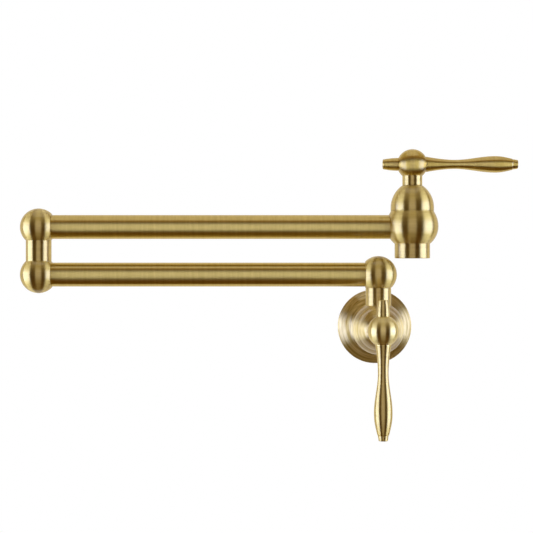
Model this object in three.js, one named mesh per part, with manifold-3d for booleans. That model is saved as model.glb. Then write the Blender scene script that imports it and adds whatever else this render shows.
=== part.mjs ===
// A wall mounted pot filler in brushed gold brass: a wall valve, a folding arm with two swivels
// and a spout valve, each valve with its own lever handle. Shown folded flat along the wall.
// Millimetres, +Z up. The origin is the centre of the inlet on the wall face. +X runs along the
// folded arm from the elbow to the spout, and -Y points out of the wall.
import * as THREE from "three";
import Module from "manifold-3d";
import { mergeVertices } from "three/addons/utils/BufferGeometryUtils.js";

// ---- Clearances and facets ----
const FIT = 0.3; // between pieces that seat on each other
const RUBBER_FIT = 0.15; // round an O-ring in its groove
const CASTING_SIDES = 20;
const TURNED_SIDES = 16;
const SMALL_SIDES = 8;
const HEX_SIDES = 6;
const CORD_SIDES = 6; // round the section of an O-ring
const ARC_STEP = Math.PI / 10;
const COVE_STEPS = 5;
const LEVER_STEPS = 10;
const WELD = 1e-3; // vertices closer than this are one

// ---- Arm layout ----
const WALL_TO_AXIS = 43; // wall face to the axis that the arm swivels on
const LOWER_ARM_HEIGHT = 42.8; // inlet axis to lower arm axis
const ELBOW_RISE = 37.8; // lower arm axis to upper arm axis
const LOWER_ARM_LENGTH = 270;
const UPPER_ARM_LENGTH = 297;

// ---- Arm tubes, balls and swivels ----
const TUBE_RADIUS = 9.525;
const TUBE_WALL = 1;
const PIPE_RADIUS = 10.15; // the short upright pipes
const BALL_RADIUS = 14.76;
const BALL_LEDGE = 0.32; // flat left round a pipe where it meets a ball
const SPIGOT_RADIUS = 6.8;
const SPIGOT_BORE = 4;
const SPIGOT_LAND = 0.8;
const PLUG_LENGTH = 4.3; // fixed lower end of an upright pipe
const SOCKET_STOP = 0.5; // wall between a ball's bore and its tube socket
const SWIVEL_CORD = 0.75; // section radius of a swivel O-ring
const WASHER_THICKNESS = 1;
const WASHER_WIDTH = 1.2;
const RETAINER_RADIUS = 2;
const RETAINER_DOG_RADIUS = 0.8;
const RETAINER_SUNK = 0.5; // head of the retaining screw below the ball's skin

// ---- Valve bodies: heights along the valve's axis, from the axis of its side port ----
const BULGE_RADIUS = 20.7;
const BULGE_HEIGHT = 0.4;
const SKIRT_RADIUS = 14.05;
const SKIRT_TOP = -13.35;
const SEAM_RADIUS = 17.2;
const SEAM_HEIGHT = 12.9;
const SEAM_LAND = 0.7;
const CHAMBER_RADIUS = 12.5;
const CHAMBER_HALF_HEIGHT = 5.2;
const SEAT_HEIGHT = -11;
const SEAT_BORE = 5.5;
const RISER_SOCKET_FLOOR = 16.4; // from the valve's axis
const TUBE_SOCKET_FLOOR = 14.8;

// ---- Bonnet ----
const DOME_SKIRT = 2.1;
const DOME_TOP_RADIUS = 8.4;
const DOME_TOP = 32.8;
const DOME_WALL = 2;
const DOME_THREAD_LENGTH = 4;

// ---- Ceramic disc cartridge ----
const SLEEVE_RADIUS = 8.7;
const SLEEVE_WALL = 1.8;
const SEAL_THICKNESS = 1.8;
const DISC_THICKNESS = 2.8;
const DISC_HOLE_INNER = 2.2;
const DISC_HOLE_OUTER = 5.4;
const DISC_HOLE_HALF_ANGLE = THREE.MathUtils.degToRad(38);
const DISC_HOLE_STEPS = 3; // facets of a port's round edges
const WINDOW_WIDTH = 9;
const WINDOW_HEIGHT = 6.2;
const HEAD_RADIUS = 11.3;
const HEAD_THICKNESS = 1.5;
const HEX_RADIUS = 11;
const HEX_HEIGHT = 5.8;
const HOUSING_RADIUS = 6.7; // threaded nose that carries the bonnet

// ---- Spindle ----
const SHAFT_RADIUS = 4.3;
const FOOT_THICKNESS = 1.6;
const TANG_WIDTH = 2.6;
const TANG_LENGTH = 8;
const TANG_DEPTH = 2;
const TENON_WIDTH = 6;
const SPINDLE_CORD = 0.6;
const SPINDLE_RING_HEIGHT = 24;

// ---- Handle: a ball hub on a neck, with a lever on one side and a finial on the other ----
const HUB_HEIGHT = 49.8;
const HUB_RADIUS = 12.1;
const HUB_REACH = 11.3; // hub centre to the face that the lever seats on
const HUB_CAP = 2; // metal between the tenon and the lever's thread
const NECK_RADIUS = 7.9;
const THREAD_RADIUS = 3;
const THREAD_LENGTH = 4.6;
const LEVER_ROOT_RADIUS = 6.1;
const LEVER_WAIST_RADIUS = 3.6;
const LEVER_WAIST_AT = 33.5; // distances from the hub's centre
const LEVER_TAPER = 1.7; // power of the curve from root to waist
const LEVER_BULB_RADIUS = 6.6;
const LEVER_BULB_AT = 66;
const LEVER_COLLAR_RADIUS = 4.5;
const LEVER_COLLAR_AT = 79.2;
const LEVER_TIP_RADIUS = 4.1;
const LEVER_END_RADIUS = 3.5;
const LEVER_END = 83.8;
const LEVER_SPREAD = 0.18; // how much wider than thick the lever is at its middle
const FINIAL_RADIUS = 5.1;
const FINIAL_END_RADIUS = 3.9;
const FINIAL_END = 23.5;
const END_DISH = 0.8;
const END_RIM = 0.8;

// ---- Grub screws ----
const GRUB_RADIUS = 1.5;
const HEX_KEY_RADIUS = 0.85;
const HEX_KEY_DEPTH = 1.3;
const GRUB_PLACE = 0.2335; // of the handle's, as a share from the neck's foot to the hub's centre

// ---- Wall side: depths out from the wall face ----
const FLANGE_RADIUS = 30.3;
const FLANGE_RIM_DEPTH = 2;
const FLANGE_RIM_WIDTH = 3;
const FLANGE_BREAK_RADIUS = 24.4;
const FLANGE_BREAK_DEPTH = 8;
const FLANGE_DEPTH = 15;
const FLANGE_SHELL = 2.8;
const COLLAR_WALL = 2.6;
const COLLAR_LENGTH = 5.5;
const GASKET_THICKNESS = 1.5;
const GASKET_WIDTH = 4.2;
const GASKET_LEDGE = 2;
const BODY_STANDOFF = 4; // wall face to the back of the wall valve
const NIPPLE_RADIUS = 10.48; // half inch male pipe thread
const NIPPLE_BORE = 6.5;
const NIPPLE_REACH = 18; // into the wall
const NIPPLE_ENGAGEMENT = 14; // into the wall valve

// ---- Spout outlet ----
const OUTLET_HEIGHT = -24.9;
const OUTLET_POCKET_RADIUS = 12;
const OUTLET_POCKET_DEPTH = 9.9;
const AERATOR_WALL = 1.5;
const AERATOR_LIP = 0.9;
const AERATOR_INSET = 0.6;
const AERATOR_WASHER_THICKNESS = 1.3;
const AERATOR_WASHER_WIDTH = 3;
const AERATOR_HOLE_RADIUS = 1.25;
const AERATOR_HOLE_PITCH = 3.2;
const AERATOR_RIM = 0.9; // solid edge left round the holes

// ---- Sizes that follow from those above ----
const BALL_FLAT = Math.sqrt(BALL_RADIUS ** 2 - (PIPE_RADIUS + BALL_LEDGE) ** 2);
const BALL_BORE = SPIGOT_RADIUS + FIT;
const BALL_SOCKET_FLOOR = BALL_BORE + SOCKET_STOP;
const BALL_TUBE_START = BALL_SOCKET_FLOOR + FIT;
const WASHER_POCKET = WASHER_THICKNESS + RUBBER_FIT;
const TUBE_BORE = TUBE_RADIUS - TUBE_WALL;
const SLEEVE_BORE = SLEEVE_RADIUS - SLEEVE_WALL;
const DISC_RADIUS = SLEEVE_BORE - FIT;
const SEAL_BOTTOM = SEAT_HEIGHT + FIT;
const SLEEVE_BOTTOM = SEAL_BOTTOM + SEAL_THICKNESS + FIT;
const FIXED_DISC_TOP = SLEEVE_BOTTOM + DISC_THICKNESS;
const MOVING_DISC_BOTTOM = FIXED_DISC_TOP + FIT;
const MOVING_DISC_TOP = MOVING_DISC_BOTTOM + DISC_THICKNESS;
const FOOT_BOTTOM = MOVING_DISC_TOP + WINDOW_HEIGHT + FIT;
const FOOT_TOP = FOOT_BOTTOM + FOOT_THICKNESS;
const SHAFT_BORE = SHAFT_RADIUS + FIT;
const HEAD_TOP = SEAM_HEIGHT + FIT;
const HOUSING_TOP = DOME_TOP - FIT;
const NECK_BOTTOM = DOME_TOP + FIT;
const TENON_TOP = HUB_HEIGHT - THREAD_RADIUS - FIT - HUB_CAP - FIT;
const LEVER_START = HUB_REACH + FIT;
const GRUB_HEIGHT = NECK_BOTTOM + GRUB_PLACE * (HUB_HEIGHT - NECK_BOTTOM);

const wasm = await Module();
wasm.setup();

// ---- Materials ----
function metal(color, roughness) {
  return new THREE.MeshStandardMaterial({ color, roughness, metalness: 1 });
}

function plain(color, roughness) {
  return new THREE.MeshStandardMaterial({ color, roughness, metalness: 0 });
}

const brushedGold = () => metal(0xc2a65e, 0.34);
const rawBrass = () => metal(0xb08d4a, 0.5);
const steel = () => metal(0xa8a9ab, 0.35);
const ceramic = () => plain(0xe9e6dd, 0.25);
const rubber = () => plain(0x1b1b1c, 0.8);
const nylon = () => plain(0xd9d6cc, 0.5);

// ---- Solids and booleans ----
function solidOf(geometry) {
  const bare = geometry.clone();
  bare.deleteAttribute("normal");
  bare.deleteAttribute("uv");
  const merged = mergeVertices(bare, WELD);
  const index = merged.index.array;
  const kept = [];
  for (let i = 0; i < index.length; i += 3) {
    const [a, b, c] = index.slice(i, i + 3);
    if (a !== b && b !== c && c !== a) kept.push(a, b, c);
  }
  const vertProperties = new Float32Array(merged.attributes.position.array);
  const triVerts = new Uint32Array(kept);
  return new wasm.Manifold(new wasm.Mesh({ numProp: 3, vertProperties, triVerts }));
}

function geometryOf(solid) {
  const mesh = solid.getMesh();
  const rounded = Float32Array.from(mesh.vertProperties, (v) => Math.round(v * 1e4) / 1e4);
  const raw = new THREE.BufferGeometry();
  raw.setAttribute("position", new THREE.BufferAttribute(rounded, mesh.numProp));
  raw.setIndex(new THREE.BufferAttribute(mesh.triVerts, 1));
  const welded = mergeVertices(raw, WELD);
  const index = welded.index.array;
  const kept = [];
  for (let i = 0; i < index.length; i += 3) {
    const [a, b, c] = index.slice(i, i + 3);
    if (a !== b && b !== c && c !== a) kept.push(a, b, c);
  }
  welded.setIndex(kept);
  welded.computeVertexNormals();
  return welded;
}

function join(first, ...others) {
  let solid = solidOf(first);
  for (const other of others) solid = solid.add(solidOf(other));
  return geometryOf(solid);
}

function cut(blank, ...tools) {
  let solid = solidOf(blank);
  for (const tool of tools) solid = solid.subtract(solidOf(tool));
  return geometryOf(solid);
}

// ---- Profiles, as [radius, height] points ----

// An arc that stands upright where it is widest and ends at a smaller radius.
function swell(wideRadius, wideHeight, endRadius, endHeight) {
  const rise = endHeight - wideHeight;
  const centre = (wideRadius ** 2 - endRadius ** 2 - rise ** 2) / (2 * (wideRadius - endRadius));
  const radius = wideRadius - centre;
  const sweep = Math.atan2(rise, endRadius - centre);
  const steps = Math.max(3, Math.ceil(Math.abs(sweep) / ARC_STEP));
  const points = [];
  for (let i = 0; i <= steps; i++) {
    const angle = (sweep * i) / steps;
    points.push([centre + radius * Math.cos(angle), wideHeight + radius * Math.sin(angle)]);
  }
  return points;
}

// A round arc about a point on the axis, from one angle above the equator to another.
function ballArc(radius, height, from, to) {
  const steps = Math.ceil(Math.abs(to - from) / ARC_STEP);
  const points = [];
  for (let i = 0; i <= steps; i++) {
    const angle = from + ((to - from) * i) / steps;
    points.push([radius * Math.cos(angle), height + radius * Math.sin(angle)]);
  }
  return points;
}

// A hollow quarter curve that leaves the first point level and arrives at the second upright.
function cove(startRadius, startHeight, endRadius, endHeight) {
  const points = [];
  for (let i = 0; i <= COVE_STEPS; i++) {
    const angle = (Math.PI / 2) * (i / COVE_STEPS);
    const radius = startRadius + (endRadius - startRadius) * Math.sin(angle);
    points.push([radius, startHeight + (endHeight - startHeight) * (1 - Math.cos(angle))]);
  }
  return points;
}

// Turns a closed profile about the Z axis. The profile's order doesn't matter.
function turned(profile, sides) {
  const points = profile.map(([radius, height]) => new THREE.Vector2(Math.max(radius, 0), height));
  if (THREE.ShapeUtils.area(points) < 0) points.reverse();
  points.push(points[0].clone());
  return new THREE.LatheGeometry(points, sides).rotateX(Math.PI / 2);
}

function ring(inner, outer, bottom, top, sides) {
  return turned([[inner, bottom], [outer, bottom], [outer, top], [inner, top]], sides);
}

function rod(radius, bottom, top, sides) {
  return new THREE.CylinderGeometry(radius, radius, top - bottom, sides)
    .rotateX(Math.PI / 2)
    .translate(0, 0, (bottom + top) / 2);
}

function block(width, depth, bottom, top) {
  return new THREE.BoxGeometry(width, depth, top - bottom).translate(0, 0, (bottom + top) / 2);
}

// Points along an arc in the XY plane, both ends included.
function arcPoints(x, y, radius, start, sweep, steps) {
  const points = [];
  for (let i = 0; i <= steps; i++) {
    const angle = start + (sweep * i) / steps;
    points.push(new THREE.Vector2(x + radius * Math.cos(angle), y + radius * Math.sin(angle)));
  }
  return points;
}

function polygon(x, y, radius, sides) {
  return arcPoints(x, y, radius, Math.PI / sides, 2 * Math.PI, sides).slice(0, -1);
}

// A round plate with holes through it.
function plate(radius, holes, bottom, top) {
  const outline = new THREE.Shape(polygon(0, 0, radius, TURNED_SIDES));
  outline.holes.push(...holes);
  const settings = { depth: top - bottom, bevelEnabled: false };
  return new THREE.ExtrudeGeometry(outline, settings).translate(0, 0, bottom);
}

// Lays a shape that was built along +Z down along +X, or along -X with a negative sign.
function lay(geometry, sign = 1) {
  return geometry.rotateY((sign * Math.PI) / 2);
}

function piece(name, geometry, material) {
  const mesh = new THREE.Mesh(geometry, material);
  mesh.name = name;
  return mesh;
}

// ---- O-rings ----
function ringGroove(bore, cord) {
  const centre = bore - RUBBER_FIT - cord;
  return { centre, floor: centre - cord - RUBBER_FIT, width: 2 * cord + 4 * RUBBER_FIT };
}

function oRing(bore, cord, height) {
  const { centre } = ringGroove(bore, cord);
  const section = [];
  for (let i = 0; i < CORD_SIDES; i++) {
    const angle = (2 * Math.PI * i) / CORD_SIDES;
    section.push([centre + cord * Math.cos(angle), height + cord * Math.sin(angle)]);
  }
  return turned(section, TURNED_SIDES);
}

// ---- Grub screw along +Z, its head at the top with a hexagon socket ----
function grubScrew(radius, bottom, top) {
  const key = rod(HEX_KEY_RADIUS, top - HEX_KEY_DEPTH, top + 1, HEX_SIDES);
  return cut(rod(radius, bottom, top, SMALL_SIDES), key);
}

// ---- Swivel: an upright pipe whose grooved spigot carries a ball that turns on it ----
const SWIVEL_GROOVE = ringGroove(BALL_BORE, SWIVEL_CORD);
const DOG_GROOVE_WIDTH = 2 * (RETAINER_DOG_RADIUS + FIT);
const FIRST_GROOVE = WASHER_POCKET + FIT;
const SECOND_GROOVE = FIRST_GROOVE + SWIVEL_GROOVE.width + SPIGOT_LAND;
const DOG_GROOVE = SECOND_GROOVE + SWIVEL_GROOVE.width + SPIGOT_LAND;
const SPIGOT_LENGTH = DOG_GROOVE + DOG_GROOVE_WIDTH + SPIGOT_LAND;

// The pipe's lower shoulder is at height 0 and its upper shoulder at the given length.
function swivelPipe(length) {
  const groove = (start, width, floor) => [
    [SPIGOT_RADIUS, length + start],
    [floor, length + start],
    [floor, length + start + width],
    [SPIGOT_RADIUS, length + start + width],
  ];
  return turned(
    [
      [SPIGOT_BORE, -PLUG_LENGTH],
      [SPIGOT_RADIUS, -PLUG_LENGTH],
      [SPIGOT_RADIUS, 0],
      [PIPE_RADIUS, 0],
      [PIPE_RADIUS, length],
      [SPIGOT_RADIUS, length],
      ...groove(FIRST_GROOVE, SWIVEL_GROOVE.width, SWIVEL_GROOVE.floor),
      ...groove(SECOND_GROOVE, SWIVEL_GROOVE.width, SWIVEL_GROOVE.floor),
      ...groove(DOG_GROOVE, DOG_GROOVE_WIDTH, SWIVEL_GROOVE.floor),
      [SPIGOT_RADIUS, length + SPIGOT_LENGTH],
      [SPIGOT_BORE, length + SPIGOT_LENGTH],
    ],
    TURNED_SIDES,
  );
}

// The pieces that sit on a pipe's spigot, with the pipe's upper shoulder at height 0.
function spigotPieces(prefix) {
  const half = SWIVEL_GROOVE.width / 2;
  const inner = BALL_BORE;
  const bottom = RUBBER_FIT;
  return [
    piece(`${prefix}_lower_o_ring`, oRing(BALL_BORE, SWIVEL_CORD, FIRST_GROOVE + half), rubber()),
    piece(`${prefix}_upper_o_ring`, oRing(BALL_BORE, SWIVEL_CORD, SECOND_GROOVE + half), rubber()),
    piece(
      `${prefix}_slip_washer`,
      ring(inner, inner + WASHER_WIDTH, bottom, bottom + WASHER_THICKNESS, TURNED_SIDES),
      nylon(),
    ),
  ];
}

// The ball with a flat underneath, at the origin.
function ballBlank() {
  const flatAngle = -Math.asin(BALL_FLAT / BALL_RADIUS);
  const lower = ballArc(BALL_RADIUS, 0, flatAngle, 0);
  const upper = ballArc(BALL_RADIUS, 0, 0, Math.PI / 2);
  return turned([[0, -BALL_FLAT], ...lower, ...upper.slice(1)], TURNED_SIDES);
}

// Cuts the flat, the socket and the waterway for an arm tube that leaves along +X.
function tubePort() {
  const reach = BALL_RADIUS + 1;
  return [
    lay(rod(2 * BALL_RADIUS, BALL_FLAT, reach, 4)),
    lay(rod(TUBE_RADIUS + FIT, BALL_SOCKET_FLOOR, reach, TURNED_SIDES)),
    lay(rod(BALL_BORE, 0, reach, TURNED_SIDES)),
  ];
}

const DOG_HEIGHT = DOG_GROOVE + DOG_GROOVE_WIDTH / 2 - FIT - BALL_FLAT;

// Lays a shape that was built along +Z down along +Y or -Y, level with the spigot's top groove.
function atDogGroove(geometry, side) {
  return geometry.rotateX((-side * Math.PI) / 2).translate(0, 0, DOG_HEIGHT);
}

// A ball that swivels on a spigot, with its tube along +X and its retaining screw along +Y or -Y.
function swivelBall(screwSide) {
  const chamberTop = BALL_BORE;
  const bore = turned(
    [
      [0, -BALL_RADIUS],
      [BALL_BORE + WASHER_WIDTH + FIT, -BALL_RADIUS],
      [BALL_BORE + WASHER_WIDTH + FIT, WASHER_POCKET - BALL_FLAT],
      [BALL_BORE, WASHER_POCKET - BALL_FLAT],
      [BALL_BORE, chamberTop / 2],
      [BALL_BORE / 2, chamberTop],
      [0, chamberTop],
    ],
    TURNED_SIDES,
  );
  const screwHole = rod(RETAINER_RADIUS + FIT, 0, BALL_RADIUS + 1, SMALL_SIDES);
  return cut(ballBlank(), ...tubePort(), bore, atDogGroove(screwHole, screwSide));
}

// Its tip rides in the spigot's top groove, so the ball turns but can't lift off.
function retainingScrew(side) {
  const head = Math.sqrt(BALL_RADIUS ** 2 - DOG_HEIGHT ** 2) - RETAINER_SUNK;
  const shoulder = BALL_BORE + FIT;
  const dog = rod(RETAINER_DOG_RADIUS, SWIVEL_GROOVE.floor + FIT, shoulder + 1, SMALL_SIDES);
  return atDogGroove(join(grubScrew(RETAINER_RADIUS, shoulder, head), dog), side);
}

// The ball at the far end of the lower arm, which holds the elbow pipe's plug from above.
function fixedBall() {
  const bore = turned(
    [
      [0, -BALL_BORE],
      [BALL_BORE / 2, -BALL_BORE],
      [BALL_BORE, -BALL_BORE / 2],
      [BALL_BORE, BALL_RADIUS],
      [0, BALL_RADIUS],
    ],
    TURNED_SIDES,
  );
  return cut(ballBlank().rotateX(Math.PI), ...tubePort(), bore);
}

function armTube(start, end) {
  return ring(TUBE_BORE, TUBE_RADIUS, start, end, TURNED_SIDES).rotateY(Math.PI / 2);
}

// ---- Valve body ----
// A pear-shaped casting. Its pocket takes the inlet nipple or the aerator, its bore takes the
// cartridge from the top, and its side port points along -X.
function valveBody(bottom, pocketRadius, pocketDepth, port) {
  const ledge = SEAM_HEIGHT - HEAD_THICKNESS;
  const chamberBottom = BULGE_HEIGHT - CHAMBER_HALF_HEIGHT;
  const chamberTop = BULGE_HEIGHT + CHAMBER_HALF_HEIGHT;
  const bore = SLEEVE_RADIUS + FIT;
  const blank = turned(
    [
      [SKIRT_RADIUS, bottom],
      ...swell(BULGE_RADIUS, BULGE_HEIGHT, SKIRT_RADIUS, SKIRT_TOP).reverse(),
      ...swell(BULGE_RADIUS, BULGE_HEIGHT, SEAM_RADIUS, SEAM_HEIGHT - SEAM_LAND).slice(1),
      [SEAM_RADIUS, SEAM_HEIGHT],
      [HEAD_RADIUS + FIT, SEAM_HEIGHT],
      [HEAD_RADIUS + FIT, ledge],
      [bore, ledge],
      [bore, chamberTop],
      [CHAMBER_RADIUS, chamberTop],
      [CHAMBER_RADIUS, chamberBottom],
      [bore, chamberBottom],
      [bore, SEAT_HEIGHT],
      [SEAT_BORE, SEAT_HEIGHT],
      [SEAT_BORE, bottom + pocketDepth],
      [pocketRadius, bottom + pocketDepth],
      [pocketRadius, bottom],
    ],
    CASTING_SIDES,
  );
  const reach = BULGE_RADIUS + 1;
  return cut(
    blank,
    lay(rod(port.socket, port.floor, reach, TURNED_SIDES), -1),
    lay(rod(port.passage, SLEEVE_RADIUS + FIT + 1, reach, TURNED_SIDES), -1),
  );
}

// ---- Ceramic disc cartridge, shared by both valves ----
function seatSeal() {
  const bottom = SEAL_BOTTOM;
  return ring(SEAT_BORE + FIT, SLEEVE_RADIUS, bottom, bottom + SEAL_THICKNESS, TURNED_SIDES);
}

function cartridgeBody() {
  const headBottom = HEAD_TOP - HEAD_THICKNESS;
  const nut = rod(HEX_RADIUS, HEAD_TOP - HEAD_THICKNESS / 2, HEAD_TOP + HEX_HEIGHT, HEX_SIDES);
  const sleeve = turned(
    [
      [0, SLEEVE_BOTTOM],
      [SLEEVE_RADIUS, SLEEVE_BOTTOM],
      [SLEEVE_RADIUS, headBottom],
      [HEAD_RADIUS, headBottom],
      [HEAD_RADIUS, HEAD_TOP],
      [HOUSING_RADIUS, HEAD_TOP],
      [HOUSING_RADIUS, HOUSING_TOP],
      [0, HOUSING_TOP],
    ],
    TURNED_SIDES,
  );
  const bore = turned(
    [
      [0, SLEEVE_BOTTOM - 1],
      [SLEEVE_BORE, SLEEVE_BOTTOM - 1],
      [SLEEVE_BORE, FOOT_TOP + FIT],
      [SHAFT_BORE, FOOT_TOP + FIT],
      [SHAFT_BORE, HOUSING_TOP + 1],
      [0, HOUSING_TOP + 1],
    ],
    TURNED_SIDES,
  );
  const window = block(4 * SLEEVE_RADIUS, WINDOW_WIDTH, MOVING_DISC_TOP, FOOT_BOTTOM - FIT);
  return cut(join(sleeve, nut), bore, window);
}

// A sector hole between two radii, facing a given direction.
function sector(inner, outer, facing) {
  const half = DISC_HOLE_HALF_ANGLE;
  const outerArc = arcPoints(0, 0, outer, facing - half, 2 * half, DISC_HOLE_STEPS);
  const innerArc = arcPoints(0, 0, inner, facing + half, -2 * half, DISC_HOLE_STEPS);
  return new THREE.Path([...outerArc, ...innerArc]);
}

function disc(bottom, holes) {
  return plate(DISC_RADIUS, holes, bottom, bottom + DISC_THICKNESS);
}

// Both discs have the same pair of ports, a quarter turn apart while the valve is shut.
function fixedDisc() {
  const holes = [0, Math.PI].map((facing) => sector(DISC_HOLE_INNER, DISC_HOLE_OUTER, facing));
  return disc(SLEEVE_BOTTOM, holes);
}

function movingDisc() {
  const quarter = Math.PI / 2;
  const holes = [quarter, -quarter].map((f) => sector(DISC_HOLE_INNER, DISC_HOLE_OUTER, f));
  const slotTop = MOVING_DISC_TOP + 1;
  const slotBottom = MOVING_DISC_TOP - TANG_DEPTH - FIT;
  const slot = block(TANG_LENGTH + 2 * FIT, TANG_WIDTH + 2 * FIT, slotBottom, slotTop);
  return cut(disc(MOVING_DISC_BOTTOM, holes), slot);
}

// The spindle drives the moving disc with a tang and carries the handle on a square tenon.
function spindle() {
  const groove = ringGroove(SHAFT_BORE, SPINDLE_CORD);
  const half = groove.width / 2;
  const shaft = turned(
    [
      [0, FOOT_BOTTOM],
      [DISC_RADIUS, FOOT_BOTTOM],
      [DISC_RADIUS, FOOT_TOP],
      [SHAFT_RADIUS, FOOT_TOP],
      [SHAFT_RADIUS, SPINDLE_RING_HEIGHT - half],
      [groove.floor, SPINDLE_RING_HEIGHT - half],
      [groove.floor, SPINDLE_RING_HEIGHT + half],
      [SHAFT_RADIUS, SPINDLE_RING_HEIGHT + half],
      [SHAFT_RADIUS, HOUSING_TOP],
      [0, HOUSING_TOP],
    ],
    TURNED_SIDES,
  );
  const tang = block(TANG_LENGTH, TANG_WIDTH, MOVING_DISC_TOP - TANG_DEPTH, FOOT_BOTTOM + 1);
  const tenon = block(TENON_WIDTH, TENON_WIDTH, HOUSING_TOP - 1, TENON_TOP);
  return join(shaft, tang, tenon);
}

function bonnet() {
  const bottom = SEAM_HEIGHT + FIT;
  const straight = bottom + DOME_SKIRT;
  const thread = HOUSING_RADIUS + FIT;
  const inside = SEAM_RADIUS - DOME_WALL;
  return turned(
    [
      [SEAM_RADIUS, bottom],
      ...swell(SEAM_RADIUS, straight, DOME_TOP_RADIUS, DOME_TOP),
      [thread, DOME_TOP],
      ...swell(inside, straight, thread, DOME_TOP - DOME_THREAD_LENGTH).reverse(),
      [inside, bottom],
    ],
    CASTING_SIDES,
  );
}

// ---- Handle ----
function handleHub() {
  const ball = turned(ballArc(HUB_RADIUS, HUB_HEIGHT, -Math.PI / 2, Math.PI / 2), TURNED_SIDES);
  const neck = rod(NECK_RADIUS, NECK_BOTTOM, HUB_HEIGHT, TURNED_SIDES);
  const square = TENON_WIDTH + 2 * FIT;
  const broach = block(square, square, NECK_BOTTOM - 1, TENON_TOP + FIT);
  const grubHole = lay(rod(GRUB_RADIUS + FIT, 0, HUB_RADIUS + 1, SMALL_SIDES));
  const bosses = [];
  const tools = [broach, grubHole.translate(0, 0, GRUB_HEIGHT)];
  const holeStart = LEVER_START - THREAD_LENGTH - 2 * FIT;
  for (const [sign, radius] of [[1, LEVER_ROOT_RADIUS], [-1, FINIAL_RADIUS]]) {
    const boss = rod(radius, 0, HUB_REACH, TURNED_SIDES);
    const facing = rod(HUB_RADIUS, HUB_REACH, HUB_RADIUS + 1, HEX_SIDES);
    const hole = rod(THREAD_RADIUS + FIT, holeStart, HUB_RADIUS + 1, SMALL_SIDES);
    for (const shape of [boss, facing, hole]) lay(shape, sign).translate(0, 0, HUB_HEIGHT);
    bosses.push(boss);
    tools.push(facing, hole);
  }
  return cut(join(ball, neck, ...bosses), ...tools);
}

function handleGrub() {
  const start = TENON_WIDTH / 2 + FIT;
  return lay(grubScrew(GRUB_RADIUS, start, NECK_RADIUS - FIT)).translate(0, 0, GRUB_HEIGHT);
}

// Half thickness of the lever at a distance from the hub's centre: it falls to a waist, swells
// to a bulb and closes to a small collar.
function leverRadius(at) {
  if (at < LEVER_WAIST_AT) {
    const left = (LEVER_WAIST_AT - at) / (LEVER_WAIST_AT - LEVER_START);
    return LEVER_WAIST_RADIUS + (LEVER_ROOT_RADIUS - LEVER_WAIST_RADIUS) * left ** LEVER_TAPER;
  }
  if (at < LEVER_BULB_AT) {
    const part = (at - LEVER_WAIST_AT) / (LEVER_BULB_AT - LEVER_WAIST_AT);
    const ease = (1 - Math.cos(Math.PI * part)) / 2;
    return LEVER_WAIST_RADIUS + (LEVER_BULB_RADIUS - LEVER_WAIST_RADIUS) * ease;
  }
  const part = (at - LEVER_BULB_AT) / (LEVER_COLLAR_AT - LEVER_BULB_AT);
  const close = Math.cos((Math.PI / 2) * part);
  return LEVER_COLLAR_RADIUS + (LEVER_BULB_RADIUS - LEVER_COLLAR_RADIUS) * close;
}

// The dished end that the lever and the finial share.
function dishedEnd(radius, end) {
  return [
    [radius, end - END_RIM / 2],
    [radius - END_RIM / 2, end],
    [radius - END_RIM, end],
    [radius - 2 * END_RIM, end - END_DISH],
    [0, end - END_DISH],
  ];
}

function threadedRoot() {
  return [
    [0, LEVER_START - THREAD_LENGTH],
    [THREAD_RADIUS, LEVER_START - THREAD_LENGTH],
    [THREAD_RADIUS, LEVER_START],
  ];
}

function lever() {
  const grip = [];
  for (let i = 0; i <= LEVER_STEPS; i++) {
    const at = LEVER_START + ((LEVER_COLLAR_AT - LEVER_START) * i) / LEVER_STEPS;
    grip.push([leverRadius(at), at]);
  }
  const tip = [LEVER_TIP_RADIUS, LEVER_COLLAR_AT + LEVER_COLLAR_RADIUS - LEVER_TIP_RADIUS];
  const profile = [...threadedRoot(), ...grip, tip, ...dishedEnd(LEVER_END_RADIUS, LEVER_END)];
  const geometry = turned(profile, TURNED_SIDES);
  const position = geometry.attributes.position;
  for (let i = 0; i < position.count; i++) {
    const part = (position.getZ(i) - LEVER_START) / (LEVER_COLLAR_AT - LEVER_START);
    const swellAt = Math.sin(Math.PI * THREE.MathUtils.clamp(part, 0, 1)) ** 2;
    position.setY(i, position.getY(i) * (1 + LEVER_SPREAD * swellAt));
  }
  return lay(geometry).translate(0, 0, HUB_HEIGHT);
}

function finial() {
  const side = swell(FINIAL_RADIUS, LEVER_START, FINIAL_END_RADIUS, FINIAL_END - END_RIM / 2);
  const profile = [
    ...threadedRoot(),
    ...side.slice(0, -1),
    ...dishedEnd(FINIAL_END_RADIUS, FINIAL_END),
  ];
  return lay(turned(profile, TURNED_SIDES), -1).translate(0, 0, HUB_HEIGHT);
}

// ---- A valve's inner works and handle. The lever points along +X, away from the side port ----
function valveWorks(prefix) {
  return [
    piece(`${prefix}_seat_seal`, seatSeal(), rubber()),
    piece(`${prefix}_fixed_disc`, fixedDisc(), ceramic()),
    piece(`${prefix}_cartridge_body`, cartridgeBody(), rawBrass()),
    piece(`${prefix}_bonnet`, bonnet(), brushedGold()),
    piece(`${prefix}_moving_disc`, movingDisc(), ceramic()),
    piece(`${prefix}_spindle`, spindle(), rawBrass()),
    piece(`${prefix}_spindle_o_ring`, oRing(SHAFT_BORE, SPINDLE_CORD, SPINDLE_RING_HEIGHT), rubber()),
    piece(`${prefix}_handle_hub`, handleHub(), brushedGold()),
    piece(`${prefix}_handle_lever`, lever(), brushedGold()),
    piece(`${prefix}_handle_finial`, finial(), brushedGold()),
    piece(`${prefix}_handle_grub_screw`, handleGrub(), steel()),
  ];
}

// ---- Wall flange and inlet, built out from the wall face ----
const FLANGE_BORE = SKIRT_RADIUS + FIT;
const FLANGE_GRUB_DEPTH = FLANGE_DEPTH - COLLAR_LENGTH / 2;

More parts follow.
